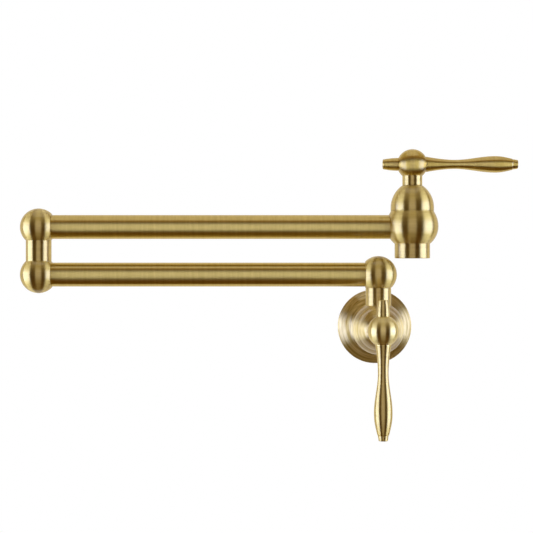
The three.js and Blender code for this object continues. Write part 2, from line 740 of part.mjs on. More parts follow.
function flange() {
  const collar = FLANGE_BORE + COLLAR_WALL;
  const inside = FLANGE_RADIUS - FLANGE_RIM_WIDTH;
  const ledge = GASKET_THICKNESS + FIT;
  const blank = turned(
    [
      [FLANGE_RADIUS, 0],
      [FLANGE_RADIUS, FLANGE_RIM_DEPTH],
      ...cove(FLANGE_BREAK_RADIUS, FLANGE_BREAK_DEPTH, collar, FLANGE_DEPTH),
      [FLANGE_BORE, FLANGE_DEPTH],
      [FLANGE_BORE, FLANGE_DEPTH - COLLAR_LENGTH],
      [FLANGE_BREAK_RADIUS - FLANGE_SHELL, FLANGE_BREAK_DEPTH - FLANGE_SHELL],
      [inside - GASKET_LEDGE, ledge],
      [inside, ledge],
      [inside, 0],
    ],
    CASTING_SIDES,
  );
  const hole = lay(rod(GRUB_RADIUS + FIT, 0, FLANGE_RADIUS, SMALL_SIDES));
  return cut(blank, hole.translate(0, 0, FLANGE_GRUB_DEPTH));
}

function gasket() {
  const outer = FLANGE_RADIUS - FLANGE_RIM_WIDTH - FIT;
  return ring(outer - GASKET_WIDTH, outer, 0, GASKET_THICKNESS, CASTING_SIDES);
}

function flangeGrub() {
  const screw = grubScrew(GRUB_RADIUS, SKIRT_RADIUS + FIT, FLANGE_BORE + COLLAR_WALL);
  return lay(screw).translate(0, 0, FLANGE_GRUB_DEPTH);
}

function nipple() {
  const inner = BODY_STANDOFF + NIPPLE_ENGAGEMENT - FIT;
  return ring(NIPPLE_BORE, NIPPLE_RADIUS, -NIPPLE_REACH, inner, TURNED_SIDES);
}

// ---- Aerator in the spout's outlet ----
const AERATOR_BOTTOM = OUTLET_HEIGHT + AERATOR_INSET;
const AERATOR_RADIUS = OUTLET_POCKET_RADIUS - FIT;
const AERATOR_BORE = AERATOR_RADIUS - AERATOR_WALL;
const AERATOR_WASHER_TOP = OUTLET_HEIGHT + OUTLET_POCKET_DEPTH - FIT;
const AERATOR_TOP = AERATOR_WASHER_TOP - AERATOR_WASHER_THICKNESS - FIT;

function aeratorWasher() {
  const inner = AERATOR_RADIUS - AERATOR_WASHER_WIDTH;
  const bottom = AERATOR_WASHER_TOP - AERATOR_WASHER_THICKNESS;
  return ring(inner, AERATOR_RADIUS, bottom, AERATOR_WASHER_TOP, TURNED_SIDES);
}

function aeratorHousing() {
  return turned(
    [
      [AERATOR_BORE - AERATOR_LIP, AERATOR_BOTTOM],
      [AERATOR_RADIUS, AERATOR_BOTTOM],
      [AERATOR_RADIUS, AERATOR_TOP],
      [AERATOR_BORE, AERATOR_TOP],
      [AERATOR_BORE, AERATOR_BOTTOM + AERATOR_LIP],
      [AERATOR_BORE - AERATOR_LIP, AERATOR_BOTTOM + AERATOR_LIP],
    ],
    TURNED_SIDES,
  );
}

// A round plate with a honeycomb of hexagonal holes, as many as fit inside its rim.
function aeratorInsert() {
  const radius = AERATOR_BORE - FIT;
  const holes = [];
  const limit = radius - AERATOR_RIM - AERATOR_HOLE_RADIUS;
  const count = Math.ceil(radius / AERATOR_HOLE_PITCH);
  for (let row = -count; row <= count; row++) {
    for (let column = -count; column <= count; column++) {
      const x = (column + row / 2) * AERATOR_HOLE_PITCH;
      const y = row * AERATOR_HOLE_PITCH * Math.sin(Math.PI / 3);
      if (Math.hypot(x, y) > limit) continue;
      holes.push(new THREE.Path(polygon(x, y, AERATOR_HOLE_RADIUS, HEX_SIDES)));
    }
  }
  return plate(radius, holes, AERATOR_BOTTOM + AERATOR_LIP + FIT, AERATOR_TOP);
}

// ---- Assembly ----
function placed(x, y, z, pieces) {
  const group = new THREE.Group();
  group.position.set(x, y, z);
  group.add(...pieces);
  return group;
}

// Points a group's +Z out of the wall and its +X down.
function facingOut(group) {
  group.rotation.set(Math.PI / 2, 0, -Math.PI / 2);
  return group;
}

const WALL_VALVE_BOTTOM = BODY_STANDOFF - WALL_TO_AXIS;
const RISER_START = RISER_SOCKET_FLOOR + FIT;
const RISER_LENGTH = LOWER_ARM_HEIGHT - BALL_FLAT - FIT - RISER_START;
const ELBOW_PIPE_LENGTH = ELBOW_RISE - 2 * (BALL_FLAT + FIT);
const UPPER_ARM_HEIGHT = LOWER_ARM_HEIGHT + ELBOW_RISE;
const SPOUT_X = UPPER_ARM_LENGTH - LOWER_ARM_LENGTH;

const wallMount = facingOut(
  placed(0, 0, 0, [
    piece("wall_flange", flange(), brushedGold()),
    piece("flange_gasket", gasket(), rubber()),
    piece("flange_grub_screw", flangeGrub(), steel()),
    piece("inlet_nipple", nipple(), rawBrass()),
  ]),
);

const wallPort = { socket: PIPE_RADIUS + FIT, floor: RISER_SOCKET_FLOOR, passage: SPIGOT_RADIUS + FIT };
const wallBody = valveBody(WALL_VALVE_BOTTOM, NIPPLE_RADIUS + FIT, NIPPLE_ENGAGEMENT, wallPort);
const wallValve = facingOut(
  placed(0, -WALL_TO_AXIS, 0, [
    piece("wall_valve_body", wallBody, brushedGold()),
    ...valveWorks("wall"),
  ]),
);

const riser = placed(0, -WALL_TO_AXIS, RISER_START, [
  piece("riser_pipe", swivelPipe(RISER_LENGTH), brushedGold()),
  placed(0, 0, RISER_LENGTH, spigotPieces("riser")),
]);

// The pivot ball's tube leaves along -X, so the ball is turned half round.
const pivot = placed(0, -WALL_TO_AXIS, LOWER_ARM_HEIGHT, [
  piece("pivot_ball", swivelBall(-1), brushedGold()),
  piece("pivot_retaining_screw", retainingScrew(-1), steel()),
]);
pivot.rotation.z = Math.PI;

const lowerTube = armTube(BALL_TUBE_START - LOWER_ARM_LENGTH, -BALL_TUBE_START);
const lowerArm = placed(0, -WALL_TO_AXIS, LOWER_ARM_HEIGHT, [
  piece("lower_arm_tube", lowerTube, brushedGold()),
  placed(-LOWER_ARM_LENGTH, 0, 0, [
    piece("lower_elbow_ball", fixedBall(), brushedGold()),
    placed(0, 0, BALL_FLAT + FIT, [
      piece("elbow_pipe", swivelPipe(ELBOW_PIPE_LENGTH), brushedGold()),
      placed(0, 0, ELBOW_PIPE_LENGTH, spigotPieces("elbow")),
    ]),
  ]),
]);

const spoutTubeEnd = SPOUT_X - TUBE_SOCKET_FLOOR - FIT;
const upperTube = armTube(BALL_TUBE_START, LOWER_ARM_LENGTH + spoutTubeEnd);
const upperArm = placed(-LOWER_ARM_LENGTH, -WALL_TO_AXIS, UPPER_ARM_HEIGHT, [
  piece("upper_elbow_ball", swivelBall(1), brushedGold()),
  piece("elbow_retaining_screw", retainingScrew(1), steel()),
  piece("upper_arm_tube", upperTube, brushedGold()),
]);

const spoutPort = { socket: TUBE_RADIUS + FIT, floor: TUBE_SOCKET_FLOOR, passage: TUBE_BORE };
const spoutBody = valveBody(OUTLET_HEIGHT, OUTLET_POCKET_RADIUS, OUTLET_POCKET_DEPTH, spoutPort);
const spout = placed(SPOUT_X, -WALL_TO_AXIS, UPPER_ARM_HEIGHT, [
  piece("spout_valve_body", spoutBody, brushedGold()),
  ...valveWorks("spout"),
  piece("aerator_washer", aeratorWasher(), rubber()),
  piece("aerator_housing", aeratorHousing(), rawBrass()),
  piece("aerator_insert", aeratorInsert(), nylon()),
]);

const potFiller = new THREE.Group();
potFiller.add(wallMount, wallValve, riser, pivot, lowerArm, upperArm, spout);

export default potFiller;
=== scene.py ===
# The looks of a wall mounted pot filler in brushed gold, folded along the wall. Sizes are in
# millimetres and in each piece's own frame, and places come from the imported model.
import math

import bmesh
import bpy
from mathutils import Matrix, Vector


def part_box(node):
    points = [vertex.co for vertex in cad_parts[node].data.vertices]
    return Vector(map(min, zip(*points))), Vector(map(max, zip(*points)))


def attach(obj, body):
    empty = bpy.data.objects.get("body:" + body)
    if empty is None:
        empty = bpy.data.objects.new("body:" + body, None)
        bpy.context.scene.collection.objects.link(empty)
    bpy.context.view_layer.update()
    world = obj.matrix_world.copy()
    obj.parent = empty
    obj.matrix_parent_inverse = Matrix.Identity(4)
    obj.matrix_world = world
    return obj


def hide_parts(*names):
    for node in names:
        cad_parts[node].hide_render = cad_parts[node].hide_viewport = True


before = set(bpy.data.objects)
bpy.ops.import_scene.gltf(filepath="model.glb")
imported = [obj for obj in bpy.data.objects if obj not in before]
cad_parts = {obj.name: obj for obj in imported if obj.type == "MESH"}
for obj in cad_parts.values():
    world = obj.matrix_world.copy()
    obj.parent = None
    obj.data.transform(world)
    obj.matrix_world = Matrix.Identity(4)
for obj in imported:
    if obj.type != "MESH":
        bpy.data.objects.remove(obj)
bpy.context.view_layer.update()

# ==== Wall flange ====
# The cover plate on the wall: a thin rim, a steep slope, a hollow cove and a short collar that
# slides over the valve body. Turned brass, brushed in rings on the lathe and plated satin gold.
MM = 0.001
SPIN_STEPS = 128
CORNER_STEPS = 3
WELD = 1e-4  # corners closer than this are one
SEAT_GAP = 0.05  # between pieces that seat on each other
SCREW_GAP = 0.1  # between a screw and its hole
SHARP_ANGLE = math.radians(35)

FLANGE_RADIUS = 30.3
FLANGE_RIM_DEPTH = 2
FLANGE_RIM_WIDTH = 3
FLANGE_BREAK_RADIUS = 24.4
FLANGE_BREAK_DEPTH = 8
FLANGE_DEPTH = 15
COVE_LEAN = 0.3  # slope at the foot of the cove, as a share of a straight cone's
FLANGE_SHELL = 2.8
FLANGE_LEDGE = 1.8
FLANGE_LEDGE_WIDTH = 2
COLLAR_BORE = 14.15
COLLAR_RADIUS = 16.95
COLLAR_LENGTH = 5.5
FLANGE_SCREW_RADIUS = 1.5
FLANGE_SCREW_DEPTH = FLANGE_DEPTH - COLLAR_LENGTH / 2
FLANGE_DRILL = (10, 20)  # from and to, outwards from the axis

# Points a piece's +Z out of the wall and its +X down.
OUT_OF_WALL = Matrix(((0, 1, 0, 0), (0, 0, -1, 0), (-1, 0, 0, 0), (0, 0, 0, 1)))


def turned(profile, closed=False, steps=SPIN_STEPS):
    """Spins (radius, height) points round Z into a solid. A third number rounds that corner."""
    bm = bmesh.new()
    corners = [bm.verts.new((point[0], 0, point[1])) for point in profile]
    for start, end in zip(corners, corners[1:]):
        bm.edges.new((start, end))
    if closed:
        bm.edges.new((corners[-1], corners[0]))
    for corner, point in zip(corners, profile):
        if len(point) == 3:
            bmesh.ops.bevel(
                bm, geom=[corner], offset=point[2], offset_type="OFFSET", segments=CORNER_STEPS,
                profile=0.5, affect="VERTICES", clamp_overlap=True, material=-1,
            )
    bmesh.ops.spin(
        bm, geom=bm.verts[:] + bm.edges[:], cent=(0, 0, 0), axis=(0, 0, 1), angle=2 * math.pi,
        steps=steps, use_merge=True,
    )
    bmesh.ops.remove_doubles(bm, verts=bm.verts[:], dist=WELD)
    bmesh.ops.recalc_face_normals(bm, faces=bm.faces[:])
    return bm


def cove(start, end, lean, steps=20):
    """A hollow quarter curve that leaves the start at a slight slope and ends upright."""
    points = []
    for i in range(1, steps):
        turn = math.pi / 2 * i / steps
        radius = start[0] + (end[0] - start[0]) * math.sin(turn)
        rise = (1 - lean) * (1 - math.cos(turn)) + lean * math.sin(turn)
        points.append((radius, start[1] + (end[1] - start[1]) * rise))
    return points


def rod(radius, bottom, top, sides=48):
    """A plain cylinder along Z, mostly used as a drill."""
    bm = bmesh.new()
    bmesh.ops.create_cone(
        bm, cap_ends=True, segments=sides, radius1=radius, radius2=radius, depth=top - bottom,
        matrix=Matrix.Translation((0, 0, (bottom + top) / 2)),
    )
    return bm


def laid(bm, direction):
    """Lays a shape that stands along +Z down along another direction."""
    turn = Vector((0, 0, 1)).rotation_difference(Vector(direction))
    bm.transform(turn.to_matrix().to_4x4())
    return bm


def raised(bm, height):
    """Moves a shape up along +Z."""
    bmesh.ops.translate(bm, vec=(0, 0, height), verts=bm.verts[:])
    return bm


def solid(name, bm, place):
    """Makes an object at the origin, with its shape scaled to metres and put in its place."""
    bm.transform(place @ Matrix.Scale(MM, 4))
    mesh = bpy.data.meshes.new(name)
    bm.to_mesh(mesh)
    bm.free()
    piece = bpy.data.objects.new(name, mesh)
    bpy.context.scene.collection.objects.link(piece)
    return piece


def merge(piece, operation, shapes, place):
    """Cuts shapes away from a piece, or joins them to it."""
    tools = [solid("tool", shape, place) for shape in shapes]
    for tool in tools:
        step = piece.modifiers.new(operation, "BOOLEAN")
        step.operation = operation
        step.solver = "EXACT"
        step.object = tool
    view = bpy.context.evaluated_depsgraph_get()
    piece.data = bpy.data.meshes.new_from_object(piece.evaluated_get(view))
    piece.modifiers.clear()
    for tool in tools:
        bpy.data.objects.remove(tool)


def finish(piece, body, node, slot, *materials):
    """Gives a piece its finish and smooth shading, and lets it stand for its solid in the frame."""
    piece.data.materials.clear()
    for material in materials:
        piece.data.materials.append(material)
    for face in piece.data.polygons:
        face.use_smooth = True
    piece.data.set_sharp_from_angle(angle=SHARP_ANGLE)
    even = piece.modifiers.new("even_shading", "WEIGHTED_NORMAL")
    even.keep_sharp = True
    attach(piece, body)
    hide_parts(node)


# Each gold has two colours, for the hollows and the crests of its brush marks. The flange and the
# wall valve have the strongest marks, and a thin clear coat lies over all the gold.
RINGED_GOLD = ((0.46, 0.31, 0.07, 1), (0.8, 0.62, 0.26, 1))
GRAZING_GOLD = (0.7, 0.6, 0.38, 1)
QUARTER_TURN = 0.25
COAT_WEIGHT = 0.55
COAT_IOR = 1.7
COAT_ROUGHNESS = 0.13
ROUGHNESS_SPREAD = 0.05
NOISE_LOW = 0.3  # the noise seldom leaves the range from low to high
NOISE_HIGH = 0.7
NOISE_ROUGHNESS = 0.6
FINE_STROKES = 2600  # per metre across the brush marks
FINE_DETAIL = 4
BROAD_STROKES = 420
BROAD_DETAIL = 2
STROKE_FADE = (50, 40, 60)  # changes per metre along a brush mark
SCRATCH_DEPTH = 0.00001


def brushed_gold(name, centre, axis, tones, ring_depth=0.0, tone_spread=0.2, rough=0.37):
    """Satin gold, brushed in rings round an axis through a point of the model."""
    material = bpy.data.materials.new(name)
    material.use_nodes = True
    nodes = material.node_tree.nodes
    links = material.node_tree.links
    shader = nodes["Principled BSDF"]
    shader.inputs["Metallic"].default_value = 1
    shader.inputs["Anisotropic"].default_value = 1
    shader.inputs["Anisotropic Rotation"].default_value = QUARTER_TURN
    shader.inputs["Specular Tint"].default_value = GRAZING_GOLD
    shader.inputs["Coat Weight"].default_value = COAT_WEIGHT
    shader.inputs["Coat IOR"].default_value = COAT_IOR
    shader.inputs["Coat Roughness"].default_value = COAT_ROUGHNESS
    place = nodes.new("ShaderNodeTexCoord")
    centred = nodes.new("ShaderNodeMapping")
    centred.inputs["Location"].default_value = -Vector(centre)
    links.new(place.outputs["Object"], centred.inputs["Vector"])
    across = nodes.new("ShaderNodeVectorMath")
    across.operation = "CROSS_PRODUCT"
    across.inputs[0].default_value = axis
    links.new(centred.outputs["Vector"], across.inputs[1])
    radius = nodes.new("ShaderNodeVectorMath")
    radius.operation = "LENGTH"
    links.new(across.outputs["Vector"], radius.inputs[0])
    height = nodes.new("ShaderNodeVectorMath")
    height.operation = "DOT_PRODUCT"
    height.inputs[1].default_value = axis
    links.new(centred.outputs["Vector"], height.inputs[0])
    # The brush follows the rings, so the sheen spreads across them.
    grain = nodes.new("ShaderNodeVectorTransform")
    grain.vector_type = "VECTOR"
    grain.convert_from = "OBJECT"
    grain.convert_to = "WORLD"
    links.new(across.outputs["Vector"], grain.inputs["Vector"])
    links.new(grain.outputs["Vector"], shader.inputs["Tangent"])
    rings = nodes.new("ShaderNodeCombineXYZ")
    links.new(radius.outputs["Value"], rings.inputs["X"])
    links.new(height.outputs["Value"], rings.inputs["Y"])
    # Each stroke of the brush fades as it goes round.
    stroke = nodes.new("ShaderNodeVectorMath")
    stroke.operation = "DOT_PRODUCT"
    stroke.inputs[1].default_value = STROKE_FADE
    links.new(centred.outputs["Vector"], stroke.inputs[0])

    def strokes(per_metre, detail):
        """Brush marks as a noise that is stretched along the rings."""
        spread = nodes.new("ShaderNodeVectorMath")
        spread.operation = "SCALE"
        spread.inputs["Scale"].default_value = per_metre
        links.new(rings.outputs["Vector"], spread.inputs["Vector"])
        noise = nodes.new("ShaderNodeTexNoise")
        noise.noise_dimensions = "4D"
        noise.inputs["Scale"].default_value = 1
        noise.inputs["Detail"].default_value = detail
        noise.inputs["Roughness"].default_value = NOISE_ROUGHNESS
        links.new(spread.outputs["Vector"], noise.inputs["Vector"])
        links.new(stroke.outputs["Value"], noise.inputs["W"])
        return noise.outputs["Fac"]

    fine = strokes(FINE_STROKES, FINE_DETAIL)
    broad = strokes(BROAD_STROKES, BROAD_DETAIL)
    roughness = nodes.new("ShaderNodeMapRange")
    roughness.inputs["From Min"].default_value = NOISE_LOW
    roughness.inputs["From Max"].default_value = NOISE_HIGH
    roughness.inputs["To Min"].default_value = rough
    roughness.inputs["To Max"].default_value = rough + ROUGHNESS_SPREAD
    links.new(fine, roughness.inputs["Value"])
    links.new(roughness.outputs["Result"], shader.inputs["Roughness"])
    colour = nodes.new("ShaderNodeValToRGB")
    colour.color_ramp.elements[0].position = 0.5 - tone_spread
    colour.color_ramp.elements[0].color = tones[0]
    colour.color_ramp.elements[1].position = 0.5 + tone_spread
    colour.color_ramp.elements[1].color = tones[1]
    links.new(broad, colour.inputs["Fac"])
    links.new(colour.outputs["Color"], shader.inputs["Base Color"])
    scratch = nodes.new("ShaderNodeBump")
    scratch.inputs["Strength"].default_value = 1
    scratch.inputs["Distance"].default_value = SCRATCH_DEPTH
    links.new(fine, scratch.inputs["Height"])
    links.new(scratch.outputs["Normal"], shader.inputs["Normal"])
    if ring_depth:
        ringed = nodes.new("ShaderNodeBump")
        ringed.inputs["Strength"].default_value = 1
        ringed.inputs["Distance"].default_value = ring_depth
        links.new(broad, ringed.inputs["Height"])
        links.new(ringed.outputs["Normal"], scratch.inputs["Normal"])
    return material


flange_gold = brushed_gold(
    "gold_flange", (0, 0, 0), (0, 1, 0), RINGED_GOLD,
    ring_depth=0.00002, tone_spread=0.13, rough=0.42,
)
collar_edge = (COLLAR_RADIUS, FLANGE_DEPTH)
slope_top = (FLANGE_BREAK_RADIUS, FLANGE_BREAK_DEPTH)
flange_inside = FLANGE_RADIUS - FLANGE_RIM_WIDTH
flange = solid(
    "flange_plate",
    turned(
        [
            (FLANGE_RADIUS, 0, 0.2),
            (FLANGE_RADIUS, FLANGE_RIM_DEPTH, 0.8),
            (*slope_top, 1.0),
            *cove(slope_top, collar_edge, COVE_LEAN),
            (*collar_edge, 0.4),
            (COLLAR_BORE, FLANGE_DEPTH, 0.3),
            (COLLAR_BORE, FLANGE_DEPTH - COLLAR_LENGTH),
            (FLANGE_BREAK_RADIUS - FLANGE_SHELL, FLANGE_BREAK_DEPTH - FLANGE_SHELL),
            (flange_inside - FLANGE_LEDGE_WIDTH, FLANGE_LEDGE),
            (flange_inside, FLANGE_LEDGE),
            (flange_inside, 0, 0.2),
        ],
        closed=True,
    ),
    OUT_OF_WALL,
)
flange_drill = rod(FLANGE_SCREW_RADIUS + SCREW_GAP, *FLANGE_DRILL)
raised(laid(flange_drill, (1, 0, 0)), FLANGE_SCREW_DEPTH)
merge(flange, "DIFFERENCE", [flange_drill], OUT_OF_WALL)
finish(flange, "wall_mount", "wall_flange", "brushed_gold", flange_gold)

# ==== Gasket, clamp screw and inlet nipple ====
# A flat rubber ring lies in the back of the flange, and a stainless grub screw clamps its collar.
# The nipple is a piece of threaded brass pipe, half of it in the wall and half in the valve.
GASKET_OUTER = 27
GASKET_WIDTH = 4.2
GASKET_BACK = 0.1
GASKET_THICKNESS = 1.5
KEY_RADIUS = 0.85
KEY_DEPTH = 1.3
TOOL_PAST = 1  # how far the tool of a socket stands out of the metal
SKIRT_RADIUS = 14.05
NIPPLE_RADIUS = 10.48
NIPPLE_BORE = 6.5
NIPPLE_WALL_END = -18
NIPPLE_VALVE_END = 17.7
THREAD_PITCH = 1.814
THREAD_DEPTH = 1.1
THREAD_ROWS = 10  # rows of faces in one pitch
THREAD_LEAD = 2.2  # length over which the thread runs out at the wall end
GRAIN_DETAIL = 4
GRAIN_BUMP = 0.4
GRAIN_ROUGHNESS = 0.06  # how far the roughness varies to each side


def grub_screw(radius, bottom, top):
    """A set screw along +Z with a chamfered head, and the hexagon tool that cuts its socket."""
    body = turned([(0, bottom), (radius, bottom, 0.3), (radius, top, 0.25), (0, top)], steps=48)
    return body, rod(KEY_RADIUS, top - KEY_DEPTH, top + TOOL_PAST, sides=6)


def speckled(name, colours, roughness, metallic, scale, depth):
    """A finish of fine even grain, for the small pieces, those inside and the floor."""
    material = bpy.data.materials.new(name)
    material.use_nodes = True
    nodes = material.node_tree.nodes
    links = material.node_tree.links
    shader = nodes["Principled BSDF"]
    shader.inputs["Metallic"].default_value = metallic
    place = nodes.new("ShaderNodeTexCoord")
    noise = nodes.new("ShaderNodeTexNoise")
    noise.inputs["Scale"].default_value = scale
    noise.inputs["Detail"].default_value = GRAIN_DETAIL
    links.new(place.outputs["Object"], noise.inputs["Vector"])
    colour = nodes.new("ShaderNodeValToRGB")
    for stop, shade, position in zip(colour.color_ramp.elements, colours, (NOISE_LOW, NOISE_HIGH)):
        stop.color = (*shade, 1)
        stop.position = position
    links.new(noise.outputs["Fac"], colour.inputs["Fac"])
    links.new(colour.outputs["Color"], shader.inputs["Base Color"])
    spread = nodes.new("ShaderNodeMapRange")
    spread.inputs["To Min"].default_value = roughness - GRAIN_ROUGHNESS
    spread.inputs["To Max"].default_value = roughness + GRAIN_ROUGHNESS
    links.new(noise.outputs["Fac"], spread.inputs["Value"])
    links.new(spread.outputs["Result"], shader.inputs["Roughness"])
    bump = nodes.new("ShaderNodeBump")
    bump.inputs["Strength"].default_value = GRAIN_BUMP
    bump.inputs["Distance"].default_value = depth
    links.new(noise.outputs["Fac"], bump.inputs["Height"])
    links.new(bump.outputs["Normal"], shader.inputs["Normal"])
    return material


rubber = speckled(
    "black_rubber", ((0.012, 0.012, 0.013), (0.028, 0.028, 0.029)),
    roughness=0.7, metallic=0, scale=900, depth=5e-5,
)
steel = speckled(
    "turned_steel", ((0.50, 0.50, 0.51), (0.60, 0.60, 0.61)),
    roughness=0.3, metallic=1, scale=2500, depth=1e-5,
)
raw_brass = speckled(
    "raw_brass", ((0.42, 0.28, 0.085), (0.52, 0.36, 0.12)),
    roughness=0.38, metallic=1, scale=1800, depth=1e-5,
)

gasket_inner = GASKET_OUTER - GASKET_WIDTH
gasket = solid(
    "rubber_gasket",
    turned(
        [
            (gasket_inner, GASKET_BACK, 0.3),
            (GASKET_OUTER, GASKET_BACK, 0.3),
            (GASKET_OUTER, GASKET_THICKNESS, 0.3),
            (gasket_inner, GASKET_THICKNESS, 0.3),
        ],
        closed=True,
    ),
    OUT_OF_WALL,
)
finish(gasket, "wall_mount", "flange_gasket", "black_rubber", rubber)

screw, socket = grub_screw(FLANGE_SCREW_RADIUS, SKIRT_RADIUS + SEAT_GAP, COLLAR_RADIUS)
for shape in (screw, socket):
    raised(laid(shape, (1, 0, 0)), FLANGE_SCREW_DEPTH)
clamp_screw = solid("flange_clamp_screw", screw, OUT_OF_WALL)
merge(clamp_screw, "DIFFERENCE", [socket], OUT_OF_WALL)
finish(clamp_screw, "wall_mount", "flange_grub_screw", "stainless_steel", steel)

thread_start = NIPPLE_WALL_END + THREAD_PITCH / 2
rows = round((NIPPLE_VALVE_END - THREAD_PITCH - thread_start) / THREAD_PITCH * THREAD_ROWS)
thread_line = [(NIPPLE_RADIUS, thread_start + THREAD_PITCH * i / THREAD_ROWS) for i in range(rows)]
nipple_shape = turned(
    [
        (NIPPLE_BORE, NIPPLE_WALL_END, 0.4),
        (NIPPLE_RADIUS - THREAD_DEPTH, NIPPLE_WALL_END, 0.3),
        *thread_line,
        (NIPPLE_RADIUS - THREAD_DEPTH, NIPPLE_VALVE_END, 0.3),
        (NIPPLE_BORE, NIPPLE_VALVE_END, 0.4),
    ],
    closed=True,
)
for vertex in nipple_shape.verts:
    radius = math.hypot(vertex.co.x, vertex.co.y)
    if radius < NIPPLE_RADIUS - WELD:
        continue
    turn = math.atan2(vertex.co.y, vertex.co.x) / (2 * math.pi)
    wave = abs(2 * ((vertex.co.z / THREAD_PITCH + turn) % 1) - 1)
    lead = max(0, 1 - (vertex.co.z - thread_start) / THREAD_LEAD)
    cut = THREAD_DEPTH * max(wave, lead)
    vertex.co.xy *= (radius - cut) / radius
nipple = solid("threaded_nipple", nipple_shape, OUT_OF_WALL)
finish(nipple, "wall_mount", "inlet_nipple", "raw_brass", raw_brass)

# ==== Valve bodies ====
# Two pear-shaped brass castings, turned outside, bored for the cartridge and drilled at one side
# for the riser or the arm. The one on the wall sits on the nipple, the other ends in the outlet.
BULGE_RADIUS = 20.7
BULGE_HEIGHT = 0.4
SKIRT_TOP = -13.35
SEAM_RADIUS = 17.2
SEAM_HEIGHT = 12.9
SEAM_LAND = 0.7
SEAM_ROUNDING = 0.25
HEAD_BORE = 11.6
HEAD_LEDGE = 11.4
SLEEVE_BORE = 9
CHAMBER_RADIUS = 12.5
CHAMBER_HALF_HEIGHT = 5.2
SEAT_HEIGHT = -11
SEAT_BORE = 5.5
PIPE_RADIUS = 10.15
TUBE_RADIUS = 9.525
TUBE_BORE = 8.525
SPIGOT_RADIUS = 6.8
RISER_SOCKET_FLOOR = 16.4
TUBE_SOCKET_FLOOR = 14.8
NIPPLE_POCKET_DEPTH = 14
OUTLET_HEIGHT = -24.9
OUTLET_POCKET_RADIUS = 12
OUTLET_POCKET_DEPTH = 9.9
SIDE_DRILL_START = 10  # in the hollow of the chamber
DRILL_PAST = 2  # how far a drill stands out of the metal
DRILL_SIDES = 96
EVEN_GOLD = ((0.57, 0.405, 0.105, 1), (0.67, 0.495, 0.14, 1))

axis_y = sum(corner.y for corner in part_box("riser_pipe")) / 2
spout_x = sum(corner.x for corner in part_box("spout_bonnet")) / 2
upper_arm_z = sum(corner.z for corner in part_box("upper_arm_tube")) / 2
lower_arm_z = sum(corner.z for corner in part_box("lower_arm_tube")) / 2
WALL_VALVE = Matrix.Translation((0, axis_y, 0)) @ OUT_OF_WALL
SPOUT_VALVE = Matrix.Translation((spout_x, axis_y, upper_arm_z))


def swell(wide_radius, wide_height, end_radius, end_height, steps=18):
    """An arc that stands upright where it is widest and ends at a smaller radius."""
    rise = end_height - wide_height
    centre = (wide_radius**2 - end_radius**2 - rise**2) / (2 * (wide_radius - end_radius))
    radius = wide_radius - centre
    sweep = math.atan2(rise, end_radius - centre)
    points = []
    for i in range(steps + 1):
        turn = sweep * i / steps
        points.append((centre + radius * math.cos(turn), wide_height + radius * math.sin(turn)))
    return points


def casting(name, place, bottom, pocket_radius, pocket_depth, side_bores):
    """A valve body. Its side bores are (radius, start of the drill) and point along -X."""
    lower_bulge = swell(BULGE_RADIUS, BULGE_HEIGHT, SKIRT_RADIUS, SKIRT_TOP)
    upper_bulge = swell(BULGE_RADIUS, BULGE_HEIGHT, SEAM_RADIUS, SEAM_HEIGHT - SEAM_LAND)
    body = solid(
        name,
        turned(
            [
                (SKIRT_RADIUS, bottom, 0.5),
                *reversed(lower_bulge),
                *upper_bulge[1:],
                (SEAM_RADIUS, SEAM_HEIGHT, SEAM_ROUNDING),
                (HEAD_BORE, SEAM_HEIGHT),
                (HEAD_BORE, HEAD_LEDGE),
                (SLEEVE_BORE, HEAD_LEDGE),
                (SLEEVE_BORE, BULGE_HEIGHT + CHAMBER_HALF_HEIGHT),
                (CHAMBER_RADIUS, BULGE_HEIGHT + CHAMBER_HALF_HEIGHT),
                (CHAMBER_RADIUS, BULGE_HEIGHT - CHAMBER_HALF_HEIGHT),
                (SLEEVE_BORE, BULGE_HEIGHT - CHAMBER_HALF_HEIGHT),
                (SLEEVE_BORE, SEAT_HEIGHT),
                (SEAT_BORE, SEAT_HEIGHT),
                (SEAT_BORE, bottom + pocket_depth),
                (pocket_radius, bottom + pocket_depth),
                (pocket_radius, bottom, 0.4),
            ],
            closed=True,
        ),
        place,
    )
    drills = []
    for radius, start in side_bores:
        drill = rod(radius, start, BULGE_RADIUS + DRILL_PAST, DRILL_SIDES)
        drills.append(laid(drill, (-1, 0, 0)))
    merge(body, "DIFFERENCE", drills, place)
    return body


wall_valve_gold = brushed_gold(
    "gold_wall_valve", (0, axis_y, 0), (0, 1, 0), RINGED_GOLD, ring_depth=0.00003
)
spout_gold = brushed_gold("gold_spout", (spout_x, axis_y, upper_arm_z), (0, 0, 1), EVEN_GOLD)
wall_skirt_end = (axis_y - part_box("wall_valve_body")[1].y) / MM
wall_body = casting(
    "wall_valve_casting",
    WALL_VALVE,
    wall_skirt_end,
    NIPPLE_RADIUS + SCREW_GAP,
    NIPPLE_POCKET_DEPTH,
    [(PIPE_RADIUS + SEAT_GAP, RISER_SOCKET_FLOOR), (SPIGOT_RADIUS + SEAT_GAP, SIDE_DRILL_START)],
)
finish(wall_body, "wall_mount", "wall_valve_body", "brushed_gold", wall_valve_gold)
spout_body = casting(
    "spout_valve_casting",
    SPOUT_VALVE,
    OUTLET_HEIGHT,
    OUTLET_POCKET_RADIUS,
    OUTLET_POCKET_DEPTH,
    [(TUBE_RADIUS + SEAT_GAP, TUBE_SOCKET_FLOOR), (TUBE_BORE, SIDE_DRILL_START)],
)
finish(spout_body, "upper_arm", "spout_valve_body", "brushed_gold", spout_gold)

